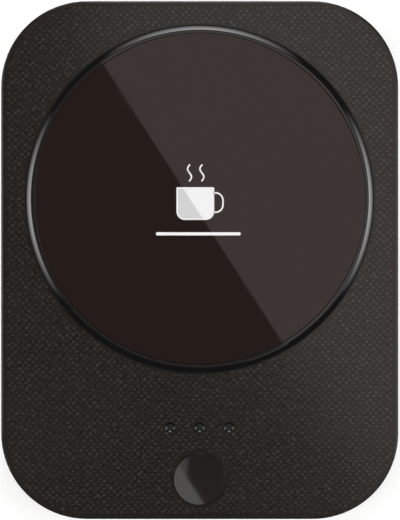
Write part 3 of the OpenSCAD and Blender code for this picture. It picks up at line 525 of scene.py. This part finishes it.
def turnedPiece(name, section, steps, at, finish, closed=False):  # section: (radius, height) points in mm
    pathRadius = 0.01
    points = [(r * mm - pathRadius, -z * mm, 0) for r, z in section]
    count = len(points)
    edges = [(i, i + 1) for i in range(count - 1)]
    if closed:
        edges.append((count - 1, 0))
    source = meshPiece(name + "_section", points, edges, [])
    inputs = {"Path Radius": pathRadius, "Steps": steps, "Place": (at.x, at.y, 0.0), "Finish": finish}
    return tidyShell(bakeNodes(source, name, turnedTree, inputs))


def arcPoints(centre, radius, startAngle, endAngle, count):  # in the section's plane, angles in degrees
    points = []
    for i in range(count + 1):
        angle = math.radians(startAngle + (endAngle - startAngle) * i / count)
        points.append((centre[0] + radius * math.cos(angle), centre[1] + radius * math.sin(angle)))
    return points


# plate ring

ringShape = {
    "inner": 41.68, "landOut": 42.35, "outer": 43.72, "landTop": 21.45, "edge": 0.04,
    "beadTop": 21.9, "beadRadius": 3.3, "beadSlope": 13, "beadEdge": 0.03, "beadInset": 0.02,
    "slopeInset": 0.4, "beadSteps": 14, "low": 16.8, "ledgeIn": 39.22, "ledgeTop": 18.0,
    "flangeOut": 46.5, "flangeTop": 18.8, "steps": 288,
}


def makeRing(shape):
    radius = shape["beadRadius"]
    slope = math.radians(shape["beadSlope"])
    edge = shape["edge"]
    centre = (shape["landOut"] - radius * math.sin(slope), shape["beadTop"] - radius * math.cos(slope))
    outerSlope = math.degrees(math.asin((shape["outer"] - shape["beadInset"] - centre[0]) / radius))
    outerTop = centre[1] + radius * math.cos(math.radians(outerSlope))
    innerSlope = shape["beadSlope"] + shape["slopeInset"]
    ledgeIn, flangeOut, flangeTop = shape["ledgeIn"], shape["flangeOut"], shape["flangeTop"]
    landOut, landTop, inner, outer = shape["landOut"], shape["landTop"], shape["inner"], shape["outer"]
    section = [(ledgeIn, shape["low"]), (flangeOut, shape["low"]), (flangeOut, flangeTop), (outer, flangeTop)]
    section += [(outer, outerTop - shape["beadEdge"])]
    section += arcPoints(centre, radius, 90 - outerSlope, 90 - innerSlope, shape["beadSteps"])
    section += [(landOut, shape["beadTop"] - shape["beadEdge"]), (landOut, landTop), (inner + edge, landTop)]
    section += [(inner, landTop - edge), (inner, shape["ledgeTop"]), (ledgeIn, shape["ledgeTop"])]
    return turnedPiece("plateRingGloss", section, shape["steps"], plateAt, ringBlack, True)


ring = makeRing(ringShape)
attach(ring, "housing")
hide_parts("plate_ring")
print("ring turned,", len(ring.data.polygons), "faces")


# glass plate

glassShape = {
    "radius": 41.6, "low": 18.5, "top": 21.5, "edgeRound": 0.15, "edgeSteps": 8, "flatIn": 0.05, "steps": 288,
}


def makeGlass(shape):
    r = shape["radius"]
    soft = shape["edgeRound"]
    section = [(0, shape["low"]), (r - soft, shape["low"]), (r, shape["low"] + soft)]
    section += arcPoints((r - soft, shape["top"] - soft), soft, 0, 90, shape["edgeSteps"])
    section += [(r - soft - shape["flatIn"], shape["top"]), (r / 2, shape["top"]), (0, shape["top"])]
    return turnedPiece("plateGlassDisc", section, shape["steps"], plateAt, plateGlass)


glass = makeGlass(glassShape)
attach(glass, "housing")
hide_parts("glass_plate")
print("glass turned,", len(glass.data.polygons), "faces")


# push button: a dished cap with a skirt, a stop flange, a stem, ribs and two keys

buttonShape = {
    "radius": 6.55, "top": 21.0, "dishDepth": 0.79, "dishSteps": 27, "edgeRound": 0.05, "edgeTurn": 78,
    "edgeSteps": 6, "flangeRadius": 7.65, "flangeLow": 15.2, "flangeTop": 16.0, "innerRadius": 5.25,
    "roof": 19.01, "stemRadius": 2.8, "steps": 192,
    "keyWidth": 1.2, "keyIn": 6.4, "keyOut": 7.25, "keyLow": 15.4, "keyTop": 18.4,
    "ribWidth": 1.0, "ribRaise": 1.0, "ribSunk": 0.2, "ribRoof": 0.1,
}


def blockPoints(low, high):
    return [(x, y, z) for z in (low[2], high[2]) for x, y in
        ((low[0], low[1]), (high[0], low[1]), (high[0], high[1]), (low[0], high[1]))]


blockFaces = [(3, 2, 1, 0), (4, 5, 6, 7), (0, 1, 5, 4), (1, 2, 6, 5), (2, 3, 7, 6), (3, 0, 4, 7)]


def addBlocks(piece, blocks, at):  # (low, high) corners in mm, from the place given
    made = bmesh.new()
    made.from_mesh(piece.data)
    for low, high in blocks:
        points = blockPoints(low, high)
        corners = [made.verts.new((x * mm + at.x, y * mm + at.y, z * mm)) for x, y, z in points]
        for face in blockFaces:
            made.faces.new([corners[i] for i in face])
    made.to_mesh(piece.data)
    made.free()


def makeButton(shape):
    r = shape["radius"]
    soft = shape["edgeRound"]
    depth = shape["dishDepth"]
    dishLow = shape["top"] - depth
    bowl = (r * r + depth * depth) / (2 * depth)  # radius of the dish
    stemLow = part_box("switch_plunger")[1].z / mm
    meetAngle = math.asin((r - soft) / bowl)
    rimTop = dishLow + bowl - math.sqrt(bowl * bowl - (r - soft) ** 2)
    section = [(0, stemLow), (shape["stemRadius"], stemLow), (shape["stemRadius"], shape["roof"])]
    section += [(shape["innerRadius"], shape["roof"]), (shape["innerRadius"], shape["flangeLow"])]
    section += [(shape["flangeRadius"], shape["flangeLow"]), (shape["flangeRadius"], shape["flangeTop"])]
    section += [(r, shape["flangeTop"])]
    section += arcPoints((r - soft, rimTop - soft), soft, 0, shape["edgeTurn"], shape["edgeSteps"])
    for i in range(shape["dishSteps"], -1, -1):
        angle = meetAngle * i / shape["dishSteps"]
        section.append((bowl * math.sin(angle), dishLow + bowl - bowl * math.cos(angle)))
    cap = turnedPiece("pushButtonCap", section, shape["steps"], buttonAt, buttonBlack)
    keyHalf = shape["keyWidth"] / 2
    blocks = []
    for start, stop in ((-shape["keyOut"], -shape["keyIn"]), (shape["keyIn"], shape["keyOut"])):
        blocks.append(((start, -keyHalf, shape["keyLow"]), (stop, keyHalf, shape["keyTop"])))
    rib = shape["ribWidth"] / 2
    reach = shape["innerRadius"] + shape["ribSunk"]
    for x, y in ((reach, rib), (rib, reach)):
        blocks.append(((-x, -y, stemLow + shape["ribRaise"]), (x, y, shape["roof"] + shape["ribRoof"])))
    addBlocks(cap, blocks, buttonAt)
    return tidyShell(cap)


button = makeButton(buttonShape)
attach(button, "button")
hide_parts("button_cap")
print("button made,", len(button.data.polygons), "faces")


# light pipes: a stepped rod whose tip is a shallow dish with a sloping margin

pipeShape = {
    "tip": 1.22, "body": 1.8, "step": 18.8, "rim": 20.98, "rimWidth": 0.03, "flat": 0.86, "flatIn": 0.04,
    "dish": 0.22, "steps": 64,
}
pipeLook = {
    "low": colour(0.005, 0.0052, 0.0048), "high": colour(0.011, 0.0112, 0.0105),
    "marginShade": colour(0.002, 0.002, 0.002), "marginFrom": 0.9, "marginTo": 1.06,
    "grain": 0.0004, "patch": 0.003, "rough": (0.35, 0.08), "coat": (0.1, 0.7), "coatRough": 0.05,
}


def lampPipe(name, look, at, flatRadius):  # smoky in the middle, clear and dark on the sloping margin
    material, tree, shader, place = startMaterial(name)
    away = useGroup(tree, axisGroup, {"Vector": place, "Axis": at})["Distance"]
    margin = ramp(tree, away, flatRadius * look["marginFrom"], flatRadius * look["marginTo"])
    grain = grainAt(tree, place, look["grain"], look["patch"])
    smoky = blendColour(tree, grain["Shade"], look["low"], look["high"])
    plugAll(tree, shader.inputs, {
        "Base Color": blendColour(tree, margin, smoky, look["marginShade"]),
        "Roughness": ramp(tree, margin, 0.0, 1.0, *look["rough"]),
        "Coat Weight": ramp(tree, margin, 0.0, 1.0, *look["coat"]), "Coat Roughness": look["coatRough"]})
    return material


def makePipe(shape, name, at, finish):
    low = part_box(name)[0].z / mm
    floor = shape["rim"] - shape["dish"]
    section = [(0, low), (shape["body"], low), (shape["body"], shape["step"]), (shape["tip"], shape["step"])]
    section += [(shape["tip"], shape["rim"]), (shape["tip"] - shape["rimWidth"], shape["rim"])]
    section += [(shape["flat"], floor), (shape["flat"] - shape["flatIn"], floor), (0, floor)]
    return turnedPiece("lens_" + name, section, shape["steps"], at, finish)


for side, at in zip(sides, lampAt):
    name = "light_pipe_" + side
    finish = lampPipe("lampPipePlastic_" + side, pipeLook, at, pipeShape["flat"] * mm)
    nodes[name].material_slots[0].material = finish
    pipe = makePipe(pipeShape, name, at, finish)
    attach(pipe, "housing")
    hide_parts(name)
print("light pipes turned")


# raised dots of the top face

dotShape = {
    "lengths": {  # mm
        "lowRadius": 0.41, "topRadius": 0.34, "height": 0.03, "sunk": 0.01, "edgeInset": 1.3, "stray": 0.17,
        "plateClear": 44.4, "buttonClear": 7.3, "lampClear": 1.75, **dotLattice,
    },
    "counts": {"columns": 60, "rows": 153, "corners": 8, "seed": 7, "shadeSeed": 18},
    "sizes": {"smallest": 0.70, "largest": 1.10},
}


def makeDotTree(numbers, counts):  # a staggered grid of dots, without those off the free surface
    sockets = {"Geometry": shapeIn, "Finish": finishIn}
    sockets |= dict.fromkeys(numbers, floatIn) | dict.fromkeys(counts, wholeIn)
    tree, given, result = newGroup("raisedDots", "GeometryNodeTree", sockets, {"Geometry": shapeIn})
    spanX = times(tree, given["pitch"], minus(tree, given["columns"], 1.0))
    spanY = times(tree, given["rowStep"], minus(tree, given["rows"], 1.0))
    grid = addNode(tree, "GeometryNodeMeshGrid", None, {
        "Size X": spanX, "Size Y": spanY, "Vertices X": given["columns"], "Vertices Y": given["rows"]})
    x, y = splitVector(tree, tree.nodes.new("GeometryNodeInputPosition").outputs[0])[:2]
    row = calc(tree, "ROUND", calc(tree, "DIVIDE", y, given["rowStep"]))
    odd = calc(tree, "MODULO", calc(tree, "ABSOLUTE", row), 2.0)
    shift = times(tree, times(tree, odd, 0.5), given["pitch"])
    stray = addNode(tree, "FunctionNodeRandomValue", {"data_type": "FLOAT_VECTOR"}, {
        0: (-1, -1, 0), 1: (1, 1, 0), "Seed": given["seed"]})
    strayed = addNode(tree, "ShaderNodeVectorMath", {"operation": "SCALE"}, {
        0: stray.outputs[0], "Scale": given["stray"]})
    offset = vectorCalc(tree, "ADD", joinVector(tree, shift, 0.0, given["level"]), strayed.outputs[0])
    moved = addNode(tree, "GeometryNodeSetPosition", None, {"Geometry": grid.outputs[0], "Offset": offset})

    def past(value, half):  # how far beyond the straight stretch of the outline
        beyond = minus(tree, calc(tree, "ABSOLUTE", value), half)
        return calc(tree, "MAXIMUM", plus(tree, beyond, given["corner"]), 0.0)

    def near(across, middleY, clear):
        return calc(tree, "LESS_THAN", hypotenuse(tree, across, minus(tree, y, middleY)), clear)

    fromEdge = hypotenuse(tree, past(x, given["halfWidth"]), past(y, given["halfLength"]))
    outside = calc(tree, "GREATER_THAN", fromEdge, minus(tree, given["corner"], given["edgeInset"]))
    sideways = calc(tree, "ABSOLUTE", x)
    fromOuter = calc(tree, "ABSOLUTE", minus(tree, sideways, given["lampPitch"]))
    fromLamp = calc(tree, "MINIMUM", sideways, fromOuter)
    onPlate = near(x, given["plateY"], given["plateClear"])
    onButton = near(x, given["buttonY"], given["buttonClear"])
    onLamp = near(fromLamp, given["lampY"], given["lampClear"])
    onEither = calc(tree, "MAXIMUM", onButton, onLamp)
    unwanted = calc(tree, "MAXIMUM", calc(tree, "MAXIMUM", outside, onPlate), onEither)
    kept = addNode(tree, "GeometryNodeDeleteGeometry", {"domain": "POINT"}, {
        "Geometry": moved.outputs[0], "Selection": unwanted})
    cone = addNode(tree, "GeometryNodeMeshCone", None, {
        "Vertices": given["corners"], "Radius Top": given["topRadius"], "Radius Bottom": given["lowRadius"],
        "Depth": plus(tree, given["height"], given["sunk"])})
    lowered = addNode(tree, "GeometryNodeTransform", None, {
        0: cone.outputs[0], "Translation": joinVector(tree, 0.0, 0.0, times(tree, given["sunk"], -1.0))})
    size = addNode(tree, "FunctionNodeRandomValue", {"data_type": "FLOAT"}, {
        2: given["smallest"], 3: given["largest"], "Seed": given["seed"]})
    placed = addNode(tree, "GeometryNodeInstanceOnPoints", None, {
        "Points": kept.outputs[0], "Instance": lowered.outputs[0], "Scale": size.outputs[1]})
    shade = addNode(tree, "FunctionNodeRandomValue", {"data_type": "FLOAT"}, {"Seed": given["shadeSeed"]})
    marked = addNode(tree, "GeometryNodeStoreNamedAttribute", {"data_type": "FLOAT", "domain": "INSTANCE"}, {
        "Geometry": placed.outputs[0], "Name": "dotShade", "Value": shade.outputs[1]})
    finishTree(tree, marked.outputs[0], given["Finish"], result)
    return tree


def makeDots(shape):
    numbers = {label: length * mm for label, length in shape["lengths"].items()}
    numbers |= {"halfWidth": coverHigh.x, "halfLength": coverHigh.y, "level": coverHigh.z}
    numbers |= {"plateY": plateAt.y, "buttonY": buttonAt.y, "lampY": lampAt[1].y, "lampPitch": lampAt[2].x}
    numbers |= shape["sizes"]
    tree = makeDotTree(numbers, shape["counts"])
    inputs = numbers | shape["counts"] | {"Finish": dotFinish}
    return bakeNodes(meshPiece("dot_start", [], [], []), "topFaceDots", tree, inputs)


dots = makeDots(dotShape)
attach(dots, "housing")
print("dots placed,", len(dots.data.polygons), "faces")


# printed pictogram on the glass: a mug with two wisps of steam over a plain bar

printShape = {
    "level": 21.5, "thick": 0.02, "sunk": 0.01, "stroke": 0.38, "steps": 8, "capSteps": 6,
    "mug": (-5.84, 10.1, 3.65, 18.3), "mugRounds": (2.1, 0.3), "innerTopRound": 0.05,
    "handleX": 3.95, "handleLevels": (15.0, 13.9), "handleRadius": 1.9, "handleTurn": 80,
    "handleEnds": (16.87, 12.03), "handleSunk": 0.1,
    "wisps": (-2.55, 0.55), "wispLow": 19.9, "wispHeight": 4.0, "wispSway": 0.5, "wispSteps": 12,
    "bar": (-11.0, 6.2, 10.3, 7.0), "barRound": 0.39,
}
whiteLook = {"low": (0.90, 0.90, 0.89), "high": (0.97, 0.97, 0.96), "metallic": 0.0, "rough": (0.35, 0.5)}
pearlLook = {"low": (0.94, 0.94, 0.95), "high": (0.98, 0.98, 0.98), "metallic": 0.28, "rough": (0.008, 0.014)}


def inkMaterial(name, look, grainSize=0.0003, patchSize=0.004):
    material, tree, shader, place = startMaterial(name)
    grain = grainAt(tree, place, grainSize, patchSize)
    shade = blendColour(tree, grain["Shade"], colour(*look["low"]), colour(*look["high"]))
    plugAll(tree, shader.inputs, {
        "Base Color": shade, "Metallic": look["metallic"],
        "Roughness": roughness(tree, grain["Shade"], *look["rough"])})
    return material


def roundedOutline(box, lowRound, topRound, steps):
    left, low, right, high = box
    points = []
    corners = (
        (right - lowRound, low + lowRound, lowRound, -90), (right - topRound, high - topRound, topRound, 0),
        (left + topRound, high - topRound, topRound, 90), (left + lowRound, low + lowRound, lowRound, 180))
    for x, y, r, angle in corners:
        points += arcPoints((x, y), r, angle, angle + 90, steps)
    return points


def strokeOutline(path, width, steps):  # a ribbon with round ends along the path
    left, right = [], []
    for i, point in enumerate(path):
        before = path[max(i - 1, 0)]
        after = path[min(i + 1, len(path) - 1)]
        ahead = Vector((after[0] - before[0], after[1] - before[1])).normalized()
        side = Vector((-ahead.y, ahead.x)) * (width / 2)
        left.append((point[0] + side.x, point[1] + side.y))
        right.append((point[0] - side.x, point[1] - side.y))

    def cap(end, inward):
        angle = math.degrees(math.atan2(end[1] - inward[1], end[0] - inward[0]))
        return arcPoints(end, width / 2, angle - 90, angle + 90, steps)[1:-1]

    return right + cap(path[-1], path[-2]) + left[::-1] + cap(path[0], path[1])


def printOutlines(shape):  # the closed outlines in white ink, and the mug's outer and inner one
    line = shape["stroke"]
    left, low, right, high = shape["mug"]
    lowRound, topRound = shape["mugRounds"]
    outer = roundedOutline(shape["mug"], lowRound, topRound, shape["steps"])
    innerBox = (left + line, low + line, right - line, high - line)
    inner = roundedOutline(innerBox, lowRound - line, shape["innerTopRound"], shape["steps"])
    turn = shape["handleTurn"]
    upper, lower = ((shape["handleX"], level) for level in shape["handleLevels"])
    start, stop = ((right - shape["handleSunk"], level) for level in shape["handleEnds"])
    bend = arcPoints(upper, shape["handleRadius"], turn, 0, shape["steps"])
    bend += arcPoints(lower, shape["handleRadius"], 0, -turn, shape["steps"])
    outlines = [strokeOutline([start] + bend + [stop], line, shape["capSteps"])]
    for x in shape["wisps"]:
        shares = [t / shape["wispSteps"] for t in range(shape["wispSteps"] + 1)]
        wisp = [(x + shape["wispSway"] * math.sin(share * 2 * math.pi),
            shape["wispLow"] + shape["wispHeight"] * share) for share in shares]
        outlines.append(strokeOutline(wisp, line, shape["capSteps"]))
    outlines.append(roundedOutline(shape["bar"], shape["barRound"], shape["barRound"], shape["steps"]))
    return outlines, outer, inner


def makePrint(shape):
    outlines, outer, inner = printOutlines(shape)
    made = bmesh.new()
    levels = ((shape["level"] - shape["sunk"]) * mm, (shape["level"] + shape["thick"]) * mm)

    def loop(outline, z):
        return [made.verts.new((x * mm, y * mm, z)) for x, y in outline]

    def walls(low, high):
        count = len(low)
        for i in range(count):
            after = (i + 1) % count
            made.faces.new((low[i], low[after], high[after], high[i]))

    for outline in outlines + [inner]:
        bottom, top = loop(outline, levels[0]), loop(outline, levels[1])
        made.faces.new(bottom[::-1])
        made.faces.new(top).material_index = 1 if outline is inner else 0
        walls(bottom, top)
    outerLow, outerHigh = (loop(outer, z) for z in levels)
    innerLow, innerHigh = (loop(inner, z) for z in levels)
    walls(outerLow, outerHigh)
    walls(innerHigh, innerLow)
    walls(outerHigh, innerHigh)
    walls(innerLow, outerLow)
    made.normal_update()
    bmesh.ops.triangulate(made, faces=[f for f in made.faces if len(f.verts) > 4])
    piece = meshPiece("plateInk", [], [], [])
    made.to_mesh(piece.data)
    made.free()
    piece.data.materials.append(inkMaterial("whiteInk", whiteLook))
    piece.data.materials.append(inkMaterial("pearlInk", pearlLook))
    return tidyShell(piece)


ink = makePrint(printShape)
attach(ink, "housing")
print("pictogram printed")


# gold contacts on the tongue of the power inlet

contactShape = {
    "pitch": 0.5, "count": 12, "width": 0.25, "length": 3.2, "thick": 0.06, "fromTip": 0.5, "apart": 0.35,
}
goldLook = ("contactGold", (0.72, 0.50, 0.18), (0.85, 0.62, 0.28), 0.22, 0.0002, 0.1)


def makeContactTree():
    tree, given, result = newGroup("contactRow", "GeometryNodeTree",
        {"Geometry": shapeIn, "Pitch": floatIn, "Count": wholeIn, "Width": floatIn, "Length": floatIn,
         "Thick": floatIn, "Middle": vectorIn, "Apart": floatIn, "Finish": finishIn},
        {"Geometry": shapeIn})
    block = addNode(tree, "GeometryNodeMeshCube", None, {
        "Size": joinVector(tree, given["Width"], given["Length"], given["Thick"])})
    rows = tree.nodes.new("GeometryNodeJoinGeometry")
    half = times(tree, minus(tree, given["Count"], 1.0), times(tree, given["Pitch"], -0.5))
    for level in (given["Apart"], times(tree, given["Apart"], -1.0)):
        line = addNode(tree, "GeometryNodeMeshLine", None, {
            "Count": given["Count"], "Offset": joinVector(tree, given["Pitch"]),
            "Start Location": vectorCalc(tree, "ADD", given["Middle"], joinVector(tree, half, 0.0, level))})
        row = addNode(tree, "GeometryNodeInstanceOnPoints", None, {
            "Points": line.outputs[0], "Instance": block.outputs[0]})
        tree.links.new(row.outputs[0], rows.inputs[0])
    finishTree(tree, rows.outputs[0], given["Finish"], result)
    return tree


def makeContacts(shape):
    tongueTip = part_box("inlet_tongue")[1].y
    centre = (0.0, tongueTip - (shape["fromTip"] + shape["length"] / 2) * mm, middle("inlet_shell").z)
    inputs = {key.capitalize(): shape[key] * mm for key in ("pitch", "width", "length", "thick", "apart")}
    inputs |= {"Count": shape["count"], "Middle": centre, "Finish": metalPiece(*goldLook)}
    return bakeNodes(meshPiece("contact_start", [], [], []), "inletContacts", makeContactTree(), inputs)


contacts = makeContacts(contactShape)
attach(contacts, "housing")
print("contacts placed,", len(contacts.data.polygons), "faces")


# floor, world and lights

floorLook = {
    "size": 12.0, "white": 0.80, "duller": 0.02, "clouds": 3.0, "rough": 0.9, "glow": (1, 1, 0.99, 1),
    "lift": (0.45, 1.0), "liftAt": (0.25, 1.2),
}
worldLook = {"strength": 0.05, "horizon": 0.04}


def rayKinds(tree):  # the kinds of ray, and all those that polished or clear surfaces send on
    path = tree.nodes.new("ShaderNodeLightPath").outputs
    return path, calc(tree, "MAXIMUM", path["Is Glossy Ray"], path["Is Transmission Ray"])


def makeFloor(look):  # its back can be seen through, so that the underside shows from below
    half = look["size"] / 2
    corners = [(-half, -half, 0), (half, -half, 0), (half, half, 0), (-half, half, 0)]
    plane = meshPiece("floor", corners, [], [(0, 1, 2, 3)])
    material, tree, shader, place = startMaterial("paleFloor")
    white = look["white"]
    duller = white - look["duller"]
    clouds = noise(tree, place, look["clouds"])
    shade = blendColour(tree, clouds, colour(white, white, white), colour(duller, duller, duller))
    path, mirrored = rayKinds(tree)
    seen = calc(tree, "MAXIMUM", path["Is Camera Ray"], mirrored)
    x, y = splitVector(tree, place)[:2]
    lift = ramp(tree, hypotenuse(tree, x, y), *look["liftAt"], *look["lift"])
    plugAll(tree, shader.inputs, {
        "Base Color": shade, "Roughness": look["rough"], "Emission Color": look["glow"],
        "Emission Strength": times(tree, seen, lift)})
    clear = addNode(tree, "ShaderNodeBsdfTransparent")
    fromBelow = tree.nodes.new("ShaderNodeNewGeometry").outputs["Backfacing"]
    through = calc(tree, "MAXIMUM", fromBelow, path["Is Shadow Ray"])
    both = addNode(tree, "ShaderNodeMixShader", None, {0: through, 1: shader.outputs[0], 2: clear.outputs[0]})
    plug(tree, both.outputs[0], tree.nodes["Material Output"].inputs["Surface"])
    plane.data.materials.append(material)


def makeWorld(look):  # dim for the light, white for the camera, and white at the horizon in reflections
    world = bpy.data.worlds.new("world")
    world.use_nodes = True
    tree = world.node_tree
    path, mirrored = rayKinds(tree)
    upward = splitVector(tree, tree.nodes.new("ShaderNodeTexCoord").outputs["Generated"])[2]
    horizon = times(tree, mirrored, ramp(tree, upward, 0.0, look["horizon"], 1.0, 0.0))
    white = calc(tree, "MAXIMUM", path["Is Camera Ray"], horizon)
    background = tree.nodes["Background"]
    background.inputs["Color"].default_value = (1, 1, 1, 1)
    plug(tree, ramp(tree, white, 0.0, 1.0, look["strength"], 1.0, False), background.inputs["Strength"])
    bpy.context.scene.world = world


cardLook = {  # flat panels overhead, which the glass, the dished button and the satin housing mirror
    "wide": {"at": (0.1477, -0.0173, 0.5215), "size": (0.52, 0.20), "turn": -57.22, "radiance": 0.79},
    "low": {"at": (0.215, -0.235, 0.5215), "size": (0.24, 0.27), "radiance": 0.45, "fade": 0.12},
    "blur": 0.002,
}
softboxLook = {  # tall panels round the object; the brightness runs from the foot to the narrower head
    "distance": 0.9, "zenith": 52, "size": (1.30, 0.84), "brightest": 0.62, "foot": 0.12, "head": 0.3,
    "footSpread": 0.50, "headSpread": 0.26,
    "sides": {"north": (89, 3.8), "east": (1, 4.3), "west": (180, 4.0)},  # azimuth and radiance
}
fillLook = {  # soft lights for the matte colours, which nothing mirrors
    "fill": {"at": (-0.5, -0.6, 1.8), "size": 1.6, "radiance": 1.35},
    "underFill": {"at": (0.5, -0.7, -1.2), "size": 1.4, "radiance": 1.3},
}


def addPanel(name, size, at, turn):  # an area light whose nodes hold its radiance
    data = bpy.data.lights.new(name, "AREA")
    data.shape = "RECTANGLE"
    data.size = size[0]
    data.size_y = size[1]
    data.energy = math.pi * size[0] * size[1]
    data.use_nodes = True
    lamp = bpy.data.objects.new(name, data)
    lamp.location = at
    lamp.rotation_euler = turn
    lamp.visible_camera = False
    bpy.context.scene.collection.objects.link(lamp)
    return lamp


def lampTree(lamp):  # its node tree, the socket of its strength, and the place across and up the panel
    tree = lamp.data.node_tree
    across, up = splitVector(tree, tree.nodes.new("ShaderNodeNewGeometry").outputs["Parametric"])[:2]
    return tree, tree.nodes["Emission"].inputs["Strength"], across, up


def makeCards(look):
    wide = look["wide"]
    turn = math.radians(wide["turn"])
    side = Vector((-math.sin(turn), math.cos(turn)))
    edge = side.dot(Vector(wide["at"][:2])) - wide["size"][1] / 2
    lamp = addPanel("wideCard", wide["size"], wide["at"], (0, 0, turn))
    lamp.data.node_tree.nodes["Emission"].inputs["Strength"].default_value = wide["radiance"]
    low = look["low"]
    lamp = addPanel("lowCard", low["size"], low["at"], (0, 0, 0))
    tree, strength, across, up = lampTree(lamp)
    x = calc(tree, "MULTIPLY_ADD", across, low["size"][0], low["at"][0] - low["size"][0] / 2)
    y = calc(tree, "MULTIPLY_ADD", up, low["size"][1], low["at"][1] - low["size"][1] / 2)
    past = plus(tree, times(tree, x, side.x), times(tree, y, side.y))
    blur = look["blur"]
    beside = ramp(tree, past, edge - blur, edge + blur, low["radiance"], 0.0)  # none where the wide card is
    plug(tree, times(tree, beside, ramp(tree, across, 0.0, low["fade"])), strength)


def makeSoftboxes(look):
    zenith = math.radians(look["zenith"])
    for name, (degrees, radiance) in look["sides"].items():
        azimuth = math.radians(degrees)
        level = math.sin(zenith)
        out = Vector((level * math.cos(azimuth), level * math.sin(azimuth), math.cos(zenith)))
        at = Vector((0, plateAt.y, coverHigh.z)) + out * look["distance"]
        lamp = addPanel(name + "Softbox", look["size"], at, out.to_track_quat("Z", "Y").to_euler())
        tree, strength, across, up = lampTree(lamp)
        rise = ramp(tree, up, 0.0, look["brightest"], look["foot"], 1.0, False)
        fall = ramp(tree, up, look["brightest"], 1.0, 1.0, look["head"])
        spread = ramp(tree, up, 0.0, 1.0, look["footSpread"], look["headSpread"], False)
        aside = calc(tree, "DIVIDE", calc(tree, "ABSOLUTE", minus(tree, across, 0.5)), spread)
        shine = times(tree, times(tree, rise, fall), ramp(tree, aside, 0.0, 1.0, 1.0, 0.0))
        plug(tree, times(tree, shine, radiance), strength)


def makeFill(name, look):
    at = Vector(look["at"])
    lamp = addPanel(name, (look["size"], look["size"]), at, at.to_track_quat("Z", "Y").to_euler())
    lamp.data.node_tree.nodes["Emission"].inputs["Strength"].default_value = look["radiance"]
    lamp.visible_glossy = False


makeFloor(floorLook)
makeWorld(worldLook)
makeCards(cardLook)
makeSoftboxes(softboxLook)
for name, look in fillLook.items():
    makeFill(name, look)
print("stage and lights set")
